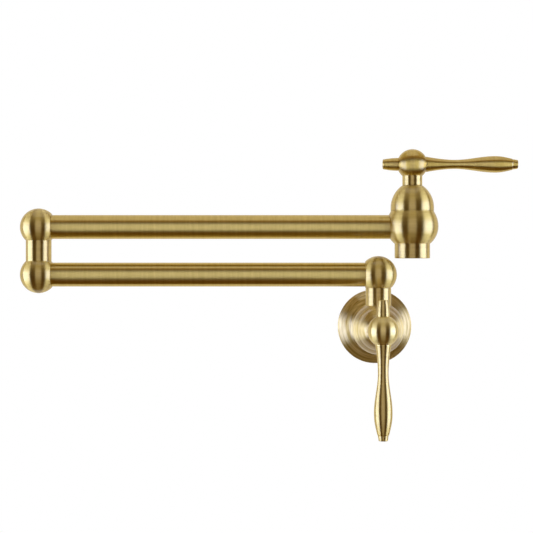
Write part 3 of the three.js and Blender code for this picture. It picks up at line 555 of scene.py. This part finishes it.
# ==== Cartridges ====
# Inside each valve a spindle turns one ceramic disc on another. The brass sleeve and spindle are
# machined, the discs lapped, and rubber rings seal them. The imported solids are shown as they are.
ceramic = speckled(
    "white_ceramic", ((0.78, 0.76, 0.71), (0.84, 0.83, 0.79)),
    roughness=0.22, metallic=0, scale=1200, depth=5e-6,
)
INNER_FINISHES = {
    "seat_seal": rubber,
    "fixed_disc": ceramic,
    "moving_disc": ceramic,
    "cartridge_body": raw_brass,
    "spindle": raw_brass,
    "spindle_o_ring": rubber,
}


def refinish(node, material):
    """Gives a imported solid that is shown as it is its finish."""
    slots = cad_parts[node].data.materials
    slots.clear()
    slots.append(material)


for valve in ("wall", "spout"):
    for part, material in INNER_FINISHES.items():
        refinish(f"{valve}_{part}", material)

# ==== Bonnets ====
# A domed cover over each cartridge, screwed down on its threaded nose until it meets the casting.
# Turned and brushed with the body, so the sheen runs on across the fine seam between them.
DOME_SKIRT = 2.4
DOME_TOP_RADIUS = 8.4
DOME_TOP = 32.8
DOME_WALL = 2
DOME_THREAD_LENGTH = 4
DOME_THREAD_RADIUS = 7
DOME_STEPS = 28


def bonnet(name, place):
    """A hollow dome, open below and bored at the top for the nose of the cartridge."""
    bottom = SEAM_HEIGHT + SEAT_GAP
    inside = SEAM_RADIUS - DOME_WALL
    straight = bottom + DOME_SKIRT
    inner_top = DOME_TOP - DOME_THREAD_LENGTH
    profile = [
        (SEAM_RADIUS, bottom, SEAM_ROUNDING),
        *swell(SEAM_RADIUS, straight, DOME_TOP_RADIUS, DOME_TOP, DOME_STEPS)[:-1],
        (DOME_TOP_RADIUS, DOME_TOP, 0.3),
        (DOME_THREAD_RADIUS, DOME_TOP),
        *reversed(swell(inside, straight, DOME_THREAD_RADIUS, inner_top)),
        (inside, bottom),
    ]
    return solid(name, turned(profile, closed=True), place)


finish(bonnet("wall_dome", WALL_VALVE), "wall_mount", "wall_bonnet", "brushed_gold", wall_valve_gold)
finish(bonnet("spout_dome", SPOUT_VALVE), "upper_arm", "spout_bonnet", "brushed_gold", spout_gold)

# ==== Handles ====
# A ball hub on a short neck, pushed over the square end of the spindle. The lever and the finial
# are turned bars screwed into the ball, which is brushed round their axis and not the neck's.
HUB_HEIGHT = 49.8
HUB_RADIUS = 12.1
HUB_REACH = 11.3
HUB_ARC_STEPS = 48
NECK_RADIUS = 7.9
NECK_BOTTOM = 32.9
TENON_HOLE = 6.2
TENON_TOP = 44.4
BAR_THREAD_RADIUS = 3
BAR_THREAD_LENGTH = 4.6
LEVER_START = HUB_REACH + SEAT_GAP
LEVER_ROOT_RADIUS = 6.1
LEVER_WAIST_RADIUS = 3.6
LEVER_WAIST_AT = 33.5
LEVER_TAPER = 1.7
LEVER_BULB_RADIUS = 6.6
LEVER_BULB_AT = 66
LEVER_COLLAR_RADIUS = 4.5
LEVER_COLLAR_AT = 79.2
LEVER_TIP_RADIUS = 4.1
LEVER_END_RADIUS = 3.5
LEVER_END = 83.8
LEVER_SPREAD = 0.18
LEVER_STATIONS = 72
FINIAL_RADIUS = 5.1
FINIAL_END_RADIUS = 3.9
FINIAL_END = 23.5
END_RIM = 0.8
END_DISH = 0.8
HANDLE_SCREW_RADIUS = 1.5
HANDLE_SCREW_HEIGHT = 37
HANDLE_SCREW_SUNK = 0.3
NECK_MARGIN = 0.2  # this and the next tell the neck's faces from the ball's
BALL_MARGIN = 0.1
# Painted light: the wall valve's hub has the same plating as its lever, but gets a lighter copy of
# the gold for the brighter light it catches.
HUB_PAINTED_LIGHT_GOLD = ((0.63, 0.47, 0.145, 1), (0.74, 0.575, 0.2, 1))  # the wall valve's hub
# Painted shade: the spout's lever and hub have the same plating as the wall lever, but get a darker,
# warmer copy of the gold for how the light falls on them.
LEVER_PAINTED_SHADE_GOLD = ((0.55, 0.375, 0.075, 1), (0.65, 0.46, 0.11, 1))  # the spout's lever and hub


def lever_radius(at):
    """Half thickness of the lever: down to a waist, out to a bulb and in to a small collar."""
    if at < LEVER_WAIST_AT:
        left = (LEVER_WAIST_AT - at) / (LEVER_WAIST_AT - LEVER_START)
        return LEVER_WAIST_RADIUS + (LEVER_ROOT_RADIUS - LEVER_WAIST_RADIUS) * left**LEVER_TAPER
    if at < LEVER_BULB_AT:
        part = (at - LEVER_WAIST_AT) / (LEVER_BULB_AT - LEVER_WAIST_AT)
        ease = (1 - math.cos(math.pi * part)) / 2
        return LEVER_WAIST_RADIUS + (LEVER_BULB_RADIUS - LEVER_WAIST_RADIUS) * ease
    part = (at - LEVER_BULB_AT) / (LEVER_COLLAR_AT - LEVER_BULB_AT)
    close = math.cos(math.pi / 2 * part)
    return LEVER_COLLAR_RADIUS + (LEVER_BULB_RADIUS - LEVER_COLLAR_RADIUS) * close


def threaded_root():
    """The screwed end of a bar, from its tip to the face of the ball."""
    return [
        (0, LEVER_START - BAR_THREAD_LENGTH),
        (BAR_THREAD_RADIUS - SEAT_GAP, LEVER_START - BAR_THREAD_LENGTH, 0.3),
        (BAR_THREAD_RADIUS - SEAT_GAP, LEVER_START),
    ]


def dished_end(radius, end):
    """The free end of a bar: a narrow rim round a shallow dish."""
    return [
        (radius, end, 0.5),
        (radius - END_RIM, end, 0.15),
        (radius - 2 * END_RIM, end - END_DISH),
        (0, end - END_DISH),
    ]


def lever_shape():
    """The lever, laid along +X. The bar is wider than it is thick, most at half its length."""
    grip = []
    for i in range(LEVER_STATIONS + 1):
        at = LEVER_START + (LEVER_COLLAR_AT - LEVER_START) * i / LEVER_STATIONS
        grip.append((lever_radius(at), at))
    grip[0] = (*grip[0], 0.2)
    step = LEVER_COLLAR_RADIUS - LEVER_TIP_RADIUS
    tip = (LEVER_TIP_RADIUS, LEVER_COLLAR_AT + step, 0.1)
    bm = turned([*threaded_root(), *grip, tip, *dished_end(LEVER_END_RADIUS, LEVER_END)])
    for vertex in bm.verts:
        part = (vertex.co.z - LEVER_START) / (LEVER_COLLAR_AT - LEVER_START)
        vertex.co.y *= 1 + LEVER_SPREAD * math.sin(math.pi * min(max(part, 0), 1)) ** 2
    return raised(laid(bm, (1, 0, 0)), HUB_HEIGHT)


def finial_shape():
    """The finial, laid along -X: a short bar that narrows to its end."""
    side = swell(FINIAL_RADIUS, LEVER_START, FINIAL_END_RADIUS, FINIAL_END - END_RIM / 2)
    bm = turned(
        [
            *threaded_root(),
            (FINIAL_RADIUS, LEVER_START, 0.2),
            *side[1:-1],
            *dished_end(FINIAL_END_RADIUS, FINIAL_END),
        ]
    )
    return raised(laid(bm, (-1, 0, 0)), HUB_HEIGHT)


def hub_ball():
    """The ball, turned about the lever's axis, with a seat and a blind thread at each side."""
    half = []
    for seat_radius, side in ((LEVER_ROOT_RADIUS, 1), (FINIAL_RADIUS, -1)):
        reach = math.sqrt(HUB_RADIUS**2 - seat_radius**2)
        inner = HUB_REACH - BAR_THREAD_LENGTH
        half.append(
            [
                (0, side * inner),
                (BAR_THREAD_RADIUS, side * inner),
                (BAR_THREAD_RADIUS, side * HUB_REACH),
                (seat_radius, side * HUB_REACH, 0.15),
                (seat_radius, side * reach),
            ]
        )
    start = math.asin(half[1][-1][1] / HUB_RADIUS)
    end = math.asin(half[0][-1][1] / HUB_RADIUS)
    arc = []
    for i in range(1, HUB_ARC_STEPS):
        turn = start + (end - start) * i / HUB_ARC_STEPS
        arc.append((HUB_RADIUS * math.cos(turn), HUB_RADIUS * math.sin(turn)))
    return raised(laid(turned([*half[1], *arc, *reversed(half[0])]), (1, 0, 0)), HUB_HEIGHT)


def box(width, bottom, top):
    """A square bar along Z, used as a cutter."""
    bm = bmesh.new()
    bmesh.ops.create_cube(bm, size=1)
    bmesh.ops.scale(bm, vec=(width, width, top - bottom), verts=bm.verts[:])
    return raised(bm, (bottom + top) / 2)


def handle(valve, place, body, neck_gold, hub_gold, lever_gold):
    """Makes a valve's hub, lever, finial and set screw."""
    hub = solid(f"{valve}_hub", hub_ball(), place)
    neck_top = HUB_HEIGHT - HUB_RADIUS / 2
    neck = turned(
        [
            (0, NECK_BOTTOM),
            (NECK_RADIUS, NECK_BOTTOM, 0.3),
            (NECK_RADIUS, neck_top),
            (0, neck_top),
        ]
    )
    merge(hub, "UNION", [neck], place)
    screw_hole = rod(HANDLE_SCREW_RADIUS + SCREW_GAP, 0, NECK_RADIUS + DRILL_PAST)
    raised(laid(screw_hole, (1, 0, 0)), HANDLE_SCREW_HEIGHT)
    broach = box(TENON_HOLE, NECK_BOTTOM - TOOL_PAST, TENON_TOP)
    merge(hub, "DIFFERENCE", [broach, screw_hole], place)
    finish(hub, body, f"{valve}_handle_hub", "brushed_gold", hub_gold, neck_gold)
    ball_foot = HUB_HEIGHT - math.sqrt(HUB_RADIUS**2 - NECK_RADIUS**2)
    for face in hub.data.polygons:
        middle = place.inverted() @ face.center / MM
        on_neck = math.hypot(middle.x, middle.y) < NECK_RADIUS + NECK_MARGIN
        below_ball = middle.z < ball_foot + BALL_MARGIN
        face.material_index = 1 if on_neck and below_ball else 0
    lever = solid(f"{valve}_lever", lever_shape(), place)
    finish(lever, body, f"{valve}_handle_lever", "brushed_gold", lever_gold)
    finial = solid(f"{valve}_finial", finial_shape(), place)
    finish(finial, body, f"{valve}_handle_finial", "brushed_gold", lever_gold)
    screw, socket = grub_screw(HANDLE_SCREW_RADIUS, TENON_HOLE / 2, NECK_RADIUS - HANDLE_SCREW_SUNK)
    for shape in (screw, socket):
        raised(laid(shape, (1, 0, 0)), HANDLE_SCREW_HEIGHT)
    set_screw = solid(f"{valve}_set_screw", screw, place)
    merge(set_screw, "DIFFERENCE", [socket], place)
    finish(set_screw, body, f"{valve}_handle_grub_screw", "stainless_steel", steel)


wall_hub_y = axis_y - HUB_HEIGHT * MM
spout_hub_z = upper_arm_z + HUB_HEIGHT * MM
wall_lever_gold = brushed_gold("gold_wall_lever", (0, wall_hub_y, 0), (0, 0, 1), EVEN_GOLD)
# The spout lever's darker gold is painted shade, not a different plating.
spout_lever_gold = brushed_gold(
    "gold_spout_lever", (spout_x, axis_y, spout_hub_z), (1, 0, 0), LEVER_PAINTED_SHADE_GOLD
)
# The hub's lighter gold is painted light, not a different plating.
wall_hub_gold = brushed_gold("gold_wall_hub", (0, wall_hub_y, 0), (0, 0, 1), HUB_PAINTED_LIGHT_GOLD, rough=0.32)
handle("wall", WALL_VALVE, "wall_handle", wall_valve_gold, wall_hub_gold, wall_lever_gold)
handle("spout", SPOUT_VALVE, "spout_handle", spout_gold, spout_lever_gold, spout_lever_gold)

# ==== Upright pipes and their seals ====
# The riser and the elbow pipe: thick brass pipe with a plain end soldered in below and a grooved
# spigot above. Two rubber rings and a nylon washer sit on the spigot, under the ball.
SPIGOT_BORE = 4
PLUG_LENGTH = 4.3
GROOVE_FLOOR = 5.15
GROOVE_WIDTH = 2.1
DOG_GROOVE_WIDTH = 2.2
SPIGOT_LAND = 0.8
FIRST_GROOVE = 1.45
SHOULDER_RISE = 0.1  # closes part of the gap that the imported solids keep
SHOULDER_DROP = 0.2  # does the same at the lower end


def groove(start, width):
    """The outline of a groove in a spigot."""
    return [
        (SPIGOT_RADIUS, start),
        (GROOVE_FLOOR, start),
        (GROOVE_FLOOR, start + width),
        (SPIGOT_RADIUS, start + width),
    ]


def swivel_pipe(name, place, length):
    """A pipe from its soldered end up to the end of its spigot. Its length is what shows."""
    second = FIRST_GROOVE + GROOVE_WIDTH + SPIGOT_LAND
    dog = second + GROOVE_WIDTH + SPIGOT_LAND
    end = length + dog + DOG_GROOVE_WIDTH + SPIGOT_LAND
    profile = [
        (SPIGOT_BORE, -PLUG_LENGTH, 0.2),
        (SPIGOT_RADIUS, -PLUG_LENGTH, 0.3),
        (SPIGOT_RADIUS, 0),
        (PIPE_RADIUS, -SHOULDER_DROP, 0.2),
        (PIPE_RADIUS, length + SHOULDER_RISE, 0.25),
        (SPIGOT_RADIUS, length + SHOULDER_RISE),
        *groove(length + FIRST_GROOVE, GROOVE_WIDTH),
        *groove(length + second, GROOVE_WIDTH),
        *groove(length + dog, DOG_GROOVE_WIDTH),
        (SPIGOT_RADIUS, end, 0.3),
        (SPIGOT_BORE, end, 0.2),
    ]
    return solid(name, turned(profile, closed=True), place)


nylon = speckled(
    "white_nylon", ((0.70, 0.68, 0.60), (0.76, 0.74, 0.67)),
    roughness=0.45, metallic=0, scale=700, depth=2e-5,
)
elbow_x = sum(corner.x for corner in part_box("elbow_pipe")) / 2
riser_gold = brushed_gold("gold_riser", (0, axis_y, lower_arm_z), (0, 0, 1), EVEN_GOLD)
elbow_gold = brushed_gold("gold_elbow", (elbow_x, axis_y, lower_arm_z), (0, 0, 1), EVEN_GOLD)
for node, name, body, gold in (
    ("riser", "riser_tube", "wall_mount", riser_gold),
    ("elbow", "elbow_tube", "lower_arm", elbow_gold),
):
    low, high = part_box(f"{node}_pipe")
    spigot = FIRST_GROOVE + 2 * GROOVE_WIDTH + DOG_GROOVE_WIDTH + 3 * SPIGOT_LAND
    length = (high.z - low.z) / MM - PLUG_LENGTH - spigot
    place = Matrix.Translation(((low.x + high.x) / 2, axis_y, low.z + PLUG_LENGTH * MM))
    finish(swivel_pipe(name, place, length), body, f"{node}_pipe", "brushed_gold", gold)
    refinish(f"{node}_lower_o_ring", rubber)
    refinish(f"{node}_upper_o_ring", rubber)
    refinish(f"{node}_slip_washer", nylon)

# ==== Swivel balls ====
# Three turned brass balls. Two turn on the spigots and one holds the elbow pipe. Each has a flat
# and a socket for its tube, and a stainless screw at the back keeps the turning ones down.
BALL_RADIUS = 14.76
BALL_FLAT = 10.5
BALL_SIDE_FLAT = 10.4
BALL_BORE = 7.1
WATERWAY_RADIUS = 6.5
WASHER_POCKET_RADIUS = 8.6
WASHER_POCKET_TOP = -9.25
BALL_SOCKET_FLOOR = 7.6
RETAINER_RADIUS = 2
RETAINER_DOG_RADIUS = 0.8
RETAINER_SUNK = 0.5
RETAINER_HEIGHT = -1.95
RETAINER_PLAY = 0.3  # keeps the screw's tip and shoulder clear of the spigot
WATERWAY_SIDES = 64


def ball_arc(start, end, steps=64):
    """The outline of a ball between two angles from its equator."""
    points = []
    for i in range(steps + 1):
        turn = start + (end - start) * i / steps
        points.append((BALL_RADIUS * math.cos(turn), BALL_RADIUS * math.sin(turn)))
    return points


def side_cuts(side):
    """Tools for the flat, the socket and the waterway of the arm tube, along +X or -X."""
    facing = box(4 * BALL_RADIUS, BALL_SIDE_FLAT, 4 * BALL_RADIUS)
    socket = rod(TUBE_RADIUS + SEAT_GAP, BALL_SOCKET_FLOOR, 2 * BALL_RADIUS, DRILL_SIDES)
    waterway = rod(WATERWAY_RADIUS, 0, 2 * BALL_RADIUS, WATERWAY_SIDES)
    return [laid(shape, (side, 0, 0)) for shape in (facing, socket, waterway)]


def swivel_ball(name, place, side):
    """A ball that turns on a spigot, with its flat below and a hole for its screw at the back."""
    flat_turn = -math.asin(BALL_FLAT / BALL_RADIUS)
    arc = ball_arc(flat_turn, math.pi / 2)
    profile = [
        (0, BALL_BORE),
        (BALL_BORE / 2, BALL_BORE),
        (BALL_BORE, BALL_BORE / 2),
        (BALL_BORE, WASHER_POCKET_TOP),
        (WASHER_POCKET_RADIUS, WASHER_POCKET_TOP),
        (WASHER_POCKET_RADIUS, -BALL_FLAT),
        (*arc[0], 0.15),
        *arc[1:],
    ]
    ball = solid(name, turned(profile), place)
    hole = rod(RETAINER_RADIUS + SCREW_GAP, 0, 2 * BALL_RADIUS)
    raised(laid(hole, (0, 1, 0)), RETAINER_HEIGHT)
    merge(ball, "DIFFERENCE", [*side_cuts(side), hole], place)
    return ball


def fixed_ball(name, place, side):
    """The ball under the elbow pipe, with its flat above and a socket for the pipe's end."""
    flat_turn = math.asin(BALL_FLAT / BALL_RADIUS)
    arc = ball_arc(-math.pi / 2, flat_turn)
    profile = [
        *arc[:-1],
        (*arc[-1], 0.15),
        (SPIGOT_RADIUS + SEAT_GAP, BALL_FLAT),
        (SPIGOT_RADIUS + SEAT_GAP, -BALL_BORE / 2),
        (BALL_BORE / 2, -BALL_BORE),
        (0, -BALL_BORE),
    ]
    ball = solid(name, turned(profile), place)
    merge(ball, "DIFFERENCE", side_cuts(side), place)
    return ball


def retaining_screw(name, place):
    """A set screw whose dog point rides in the top groove of a spigot."""
    head = math.sqrt(BALL_RADIUS**2 - RETAINER_HEIGHT**2) - RETAINER_SUNK
    shoulder = BALL_BORE + RETAINER_PLAY
    tip = GROOVE_FLOOR + RETAINER_PLAY
    body = turned(
        [
            (0, tip),
            (RETAINER_DOG_RADIUS, tip, 0.2),
            (RETAINER_DOG_RADIUS, shoulder),
            (RETAINER_RADIUS, shoulder, 0.3),
            (RETAINER_RADIUS, head, 0.25),
            (0, head),
        ],
        steps=48,
    )
    socket = rod(KEY_RADIUS, head - KEY_DEPTH, head + TOOL_PAST, sides=6)
    for shape in (body, socket):
        raised(laid(shape, (0, 1, 0)), RETAINER_HEIGHT)
    screw = solid(name, body, place)
    merge(screw, "DIFFERENCE", [socket], place)
    return screw


PIVOT = Matrix.Translation((0, axis_y, lower_arm_z))
LOWER_ELBOW = Matrix.Translation((elbow_x, axis_y, lower_arm_z))
UPPER_ELBOW = Matrix.Translation((elbow_x, axis_y, upper_arm_z))
for make, name, place, side, body, node, gold in (
    (swivel_ball, "pivot_joint_ball", PIVOT, -1, "lower_arm", "pivot_ball", riser_gold),
    (fixed_ball, "elbow_base_ball", LOWER_ELBOW, 1, "lower_arm", "lower_elbow_ball", elbow_gold),
    (swivel_ball, "elbow_joint_ball", UPPER_ELBOW, 1, "upper_arm", "upper_elbow_ball", elbow_gold),
):
    finish(make(name, place, side), body, node, "brushed_gold", gold)
for name, place, body, node in (
    ("pivot_keeper", PIVOT, "lower_arm", "pivot_retaining_screw"),
    ("elbow_keeper", UPPER_ELBOW, "upper_arm", "elbow_retaining_screw"),
):
    finish(retaining_screw(name, place), body, node, "stainless_steel", steel)

# ==== Arm tubes ====
# Two lengths of thin brass tube, brazed into the sockets of the balls and of the spout valve.
# Belt-brushed round the tube and plated with the rest.
# Painted shade: the tubes have the same plating as the castings, but get a browner, less blue copy
# of the gold for how the light falls on their level sides.
TUBE_PAINTED_SHADE_GOLD = ((0.57, 0.4, 0.09, 1), (0.67, 0.488, 0.12, 1))

for node, name, body, height in (
    ("lower_arm_tube", "lower_tube", "lower_arm", lower_arm_z),
    ("upper_arm_tube", "upper_tube", "upper_arm", upper_arm_z),
):
    low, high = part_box(node)
    length = (high.x - low.x) / MM
    wall = [(TUBE_BORE, 0), (TUBE_RADIUS, 0), (TUBE_RADIUS, length), (TUBE_BORE, length)]
    place = Matrix.Translation((low.x, axis_y, height))
    tube = solid(name, laid(turned(wall, closed=True), (1, 0, 0)), place)
    gold = brushed_gold(f"gold_{name}", (0, axis_y, height), (1, 0, 0), TUBE_PAINTED_SHADE_GOLD)
    finish(tube, body, node, "brushed_gold", gold)

# ==== Aerator ====
# A brass ring in the outlet holds a moulded nylon screen against a rubber washer. Only the ring's
# lip and the screen's holes show, from below.
AERATOR_RADIUS = 11.7
AERATOR_BORE = 10.2
AERATOR_LIP = 0.9
AERATOR_BOTTOM = -24.3
AERATOR_TOP = -16.9

aerator_ring = solid(
    "aerator_ring",
    turned(
        [
            (AERATOR_BORE - AERATOR_LIP, AERATOR_BOTTOM, 0.25),
            (AERATOR_RADIUS, AERATOR_BOTTOM, 0.3),
            (AERATOR_RADIUS, AERATOR_TOP),
            (AERATOR_BORE, AERATOR_TOP),
            (AERATOR_BORE, AERATOR_BOTTOM + AERATOR_LIP),
            (AERATOR_BORE - AERATOR_LIP, AERATOR_BOTTOM + AERATOR_LIP, 0.2),
        ],
        closed=True,
    ),
    SPOUT_VALVE,
)
finish(aerator_ring, "upper_arm", "aerator_housing", "raw_brass", raw_brass)
refinish("aerator_washer", rubber)
refinish("aerator_insert", nylon)

# ==== Studio ====
# Two tall soft boxes stand at the sides and a dim card behind the camera. The shell round them is
# dark in front and below, amber higher up and pale behind, so the brushed metal shows bright and
# dark bands. The camera sees none of these, only the white world.
CAMERA_PLACE = (-0.0889, -1.227, 0.0492)
CAMERA_LENS = 100.6
CAMERA_SENSOR = 36
SOFT_BOX_COLOUR = (1, 1.16, 1.8)
CARD_COLOUR = (1, 0.95, 0.98)

scene = bpy.context.scene
camera_data = bpy.data.cameras.new("camera")
camera_data.lens = CAMERA_LENS
camera_data.sensor_width = CAMERA_SENSOR
camera = bpy.data.objects.new("camera", camera_data)
camera.location = CAMERA_PLACE
camera.rotation_euler = (math.pi / 2, 0, 0)
scene.collection.objects.link(camera)
scene.camera = camera
scene.view_settings.view_transform = "Standard"


def glow(name, colour, strength):
    """A plain light, of the same strength all over."""
    material = bpy.data.materials.new(name)
    material.use_nodes = True
    nodes = material.node_tree.nodes
    nodes.remove(nodes["Principled BSDF"])
    light = nodes.new("ShaderNodeEmission")
    light.inputs["Color"].default_value = (*colour, 1)
    light.inputs["Strength"].default_value = strength
    material.node_tree.links.new(light.outputs[0], nodes["Material Output"].inputs["Surface"])
    return material


def soften(material, direction, size, soft):
    """Lets a card's light fade out towards its two edges in a direction."""
    nodes = material.node_tree.nodes
    links = material.node_tree.links
    place = nodes.new("ShaderNodeTexCoord")
    aside = nodes.new("ShaderNodeVectorMath")
    aside.operation = "DOT_PRODUCT"
    aside.inputs[1].default_value = direction
    links.new(place.outputs["Object"], aside.inputs[0])
    distance = nodes.new("ShaderNodeMath")
    distance.operation = "ABSOLUTE"
    links.new(aside.outputs["Value"], distance.inputs[0])
    fade = nodes.new("ShaderNodeMapRange")
    fade.interpolation_type = "SMOOTHSTEP"
    fade.inputs["From Min"].default_value = size / 2
    fade.inputs["From Max"].default_value = size / 2 - soft
    fade.inputs["To Min"].default_value = 0
    links.new(distance.outputs["Value"], fade.inputs["Value"])
    strength = nodes["Emission"].inputs["Strength"]
    if strength.is_linked:
        links.new(strength.links[0].from_socket, fade.inputs["To Max"])
    else:
        fade.inputs["To Max"].default_value = strength.default_value
    links.new(fade.outputs["Result"], strength)


def unseen(name, mesh, place=(0, 0, 0)):
    """A light of the stage that the camera doesn't see and that throws no shadow."""
    panel = bpy.data.objects.new(name, mesh)
    panel.location = place
    scene.collection.objects.link(panel)
    panel.visible_camera = False
    panel.visible_shadow = False


def card(name, azimuth, distance, shift, width, height, colour, strength, side_soft, top_soft):
    """A flat glowing card that faces the object. Azimuth 0 is on the camera's side, 90 is right."""
    bm = bmesh.new()
    bmesh.ops.create_grid(bm, x_segments=1, y_segments=1, size=0.5)
    bmesh.ops.scale(bm, vec=(width, height, 1), verts=bm.verts[:])
    turn = math.radians(azimuth)
    out = Vector((math.sin(turn), -math.cos(turn), 0))
    bm.transform(out.to_track_quat("Z", "Y").to_matrix().to_4x4())
    mesh = bpy.data.meshes.new(name)
    bm.to_mesh(mesh)
    bm.free()
    light = glow(name, colour, strength)
    soften(light, (-out.y, out.x, 0), width, side_soft)
    soften(light, (0, 0, 1), height, top_soft)
    mesh.materials.append(light)
    unseen(name, mesh, out * distance + Vector(shift))


card(
    "left_soft_box", azimuth=-78, distance=2.6, shift=(0, 0, -0.3), width=2.75, height=3.6,
    colour=SOFT_BOX_COLOUR, strength=3.35, side_soft=0.4, top_soft=1.4,
)
card(
    "right_soft_box", azimuth=72, distance=2.6, shift=(0, 0, 0), width=3.3, height=3.4,
    colour=SOFT_BOX_COLOUR, strength=3.45, side_soft=1.0, top_soft=1.2,
)
card(
    "centre_card", azimuth=0, distance=1.5, shift=(-0.12, 0, 0.2), width=1.2, height=3.4,
    colour=CARD_COLOUR, strength=0.93, side_soft=0.2, top_soft=1.4,
)

SHELL_RADIUS = 9
FRONT_CONE = math.cos(math.radians(64))
# Bounds of the shell's zones, as heights and depths on a ball of radius 1.
BELOW_REACH = 0.35
WARM_FLOOR_TOP = -0.42
BESIDE_REACH = 0.5
AMBER_LOW = 0.35
AMBER_HIGH = 0.85
FRONT_AMBER_LOW = 0.62
WALL_GLOWS = {
    "pale_wall": ((1, 1, 1), 1),
    "dark_wall": ((1, 0.6, 0.2), 0.04),
    "dark_floor": ((1, 0.5, 0.05), 0.15),
    "amber_wall": ((1, 0.7, 0.35), 0.4),
}


def wall_zone(out):
    """Names the glow of the shell in a direction from the object."""
    in_front = -out.y > FRONT_CONE
    below = out.z < 0 and out.y < BELOW_REACH
    if below and out.z < WARM_FLOOR_TOP:
        return "dark_floor"
    if abs(out.y) < BESIDE_REACH and AMBER_LOW < out.z < AMBER_HIGH:
        return "amber_wall"
    if in_front and out.z > FRONT_AMBER_LOW:
        return "amber_wall"
    if in_front or below:
        return "dark_wall"
    return "pale_wall"


shell_shape = bmesh.new()
bmesh.ops.create_uvsphere(shell_shape, u_segments=96, v_segments=48, radius=SHELL_RADIUS)
for face in shell_shape.faces:
    zone = wall_zone(face.calc_center_median().normalized())
    face.material_index = list(WALL_GLOWS).index(zone)
shell_mesh = bpy.data.meshes.new("studio_walls")
shell_shape.to_mesh(shell_mesh)
shell_shape.free()
for name, (colour, strength) in WALL_GLOWS.items():
    shell_mesh.materials.append(glow(name, colour, strength))
unseen("studio_walls", shell_mesh)

world = bpy.data.worlds.new("backdrop")
world.use_nodes = True
world.node_tree.nodes["Background"].inputs["Color"].default_value = (1, 1, 1, 1)
scene.world = world

# ==== Floor ====
# A plain pale floor under the object, which takes its shadow. It fades into the white backdrop
# before its edge, shows in no reflection and is left out where it is seen from below.
FLOOR_HEIGHT = -0.4
FLOOR_RADIUS = 1.1
FLOOR_FADE_START = 0.1
FLOOR_FADE_END = 1.08
FLOOR_TONES = ((0.925, 0.91, 0.86), (0.94, 0.925, 0.875))


def fading_floor():
    """A pale matt paint that turns clear outwards, and on its underside."""
    paint = speckled("pale_floor", FLOOR_TONES, roughness=0.7, metallic=0, scale=60, depth=5e-5)
    nodes = paint.node_tree.nodes
    links = paint.node_tree.links
    place = nodes.new("ShaderNodeTexCoord")
    reach = nodes.new("ShaderNodeVectorMath")
    reach.operation = "LENGTH"
    links.new(place.outputs["Object"], reach.inputs[0])
    fade = nodes.new("ShaderNodeMapRange")
    fade.interpolation_type = "SMOOTHSTEP"
    fade.inputs["From Min"].default_value = FLOOR_FADE_START
    fade.inputs["From Max"].default_value = FLOOR_FADE_END
    links.new(reach.outputs["Value"], fade.inputs["Value"])
    side = nodes.new("ShaderNodeNewGeometry")
    clearness = nodes.new("ShaderNodeMath")
    clearness.operation = "MAXIMUM"
    links.new(fade.outputs["Result"], clearness.inputs[0])
    links.new(side.outputs["Backfacing"], clearness.inputs[1])
    clear = nodes.new("ShaderNodeBsdfTransparent")
    blend = nodes.new("ShaderNodeMixShader")
    links.new(clearness.outputs["Value"], blend.inputs["Fac"])
    links.new(nodes["Principled BSDF"].outputs["BSDF"], blend.inputs[1])
    links.new(clear.outputs["BSDF"], blend.inputs[2])
    links.new(blend.outputs["Shader"], nodes["Material Output"].inputs["Surface"])
    return paint


floor_shape = bmesh.new()
bmesh.ops.create_circle(floor_shape, cap_ends=True, segments=96, radius=FLOOR_RADIUS)
floor_mesh = bpy.data.meshes.new("floor")
floor_shape.to_mesh(floor_mesh)
floor_shape.free()
floor_mesh.materials.append(fading_floor())
floor = bpy.data.objects.new("floor", floor_mesh)
floor.location = (0, axis_y, FLOOR_HEIGHT)
floor.visible_glossy = False
scene.collection.objects.link(floor)
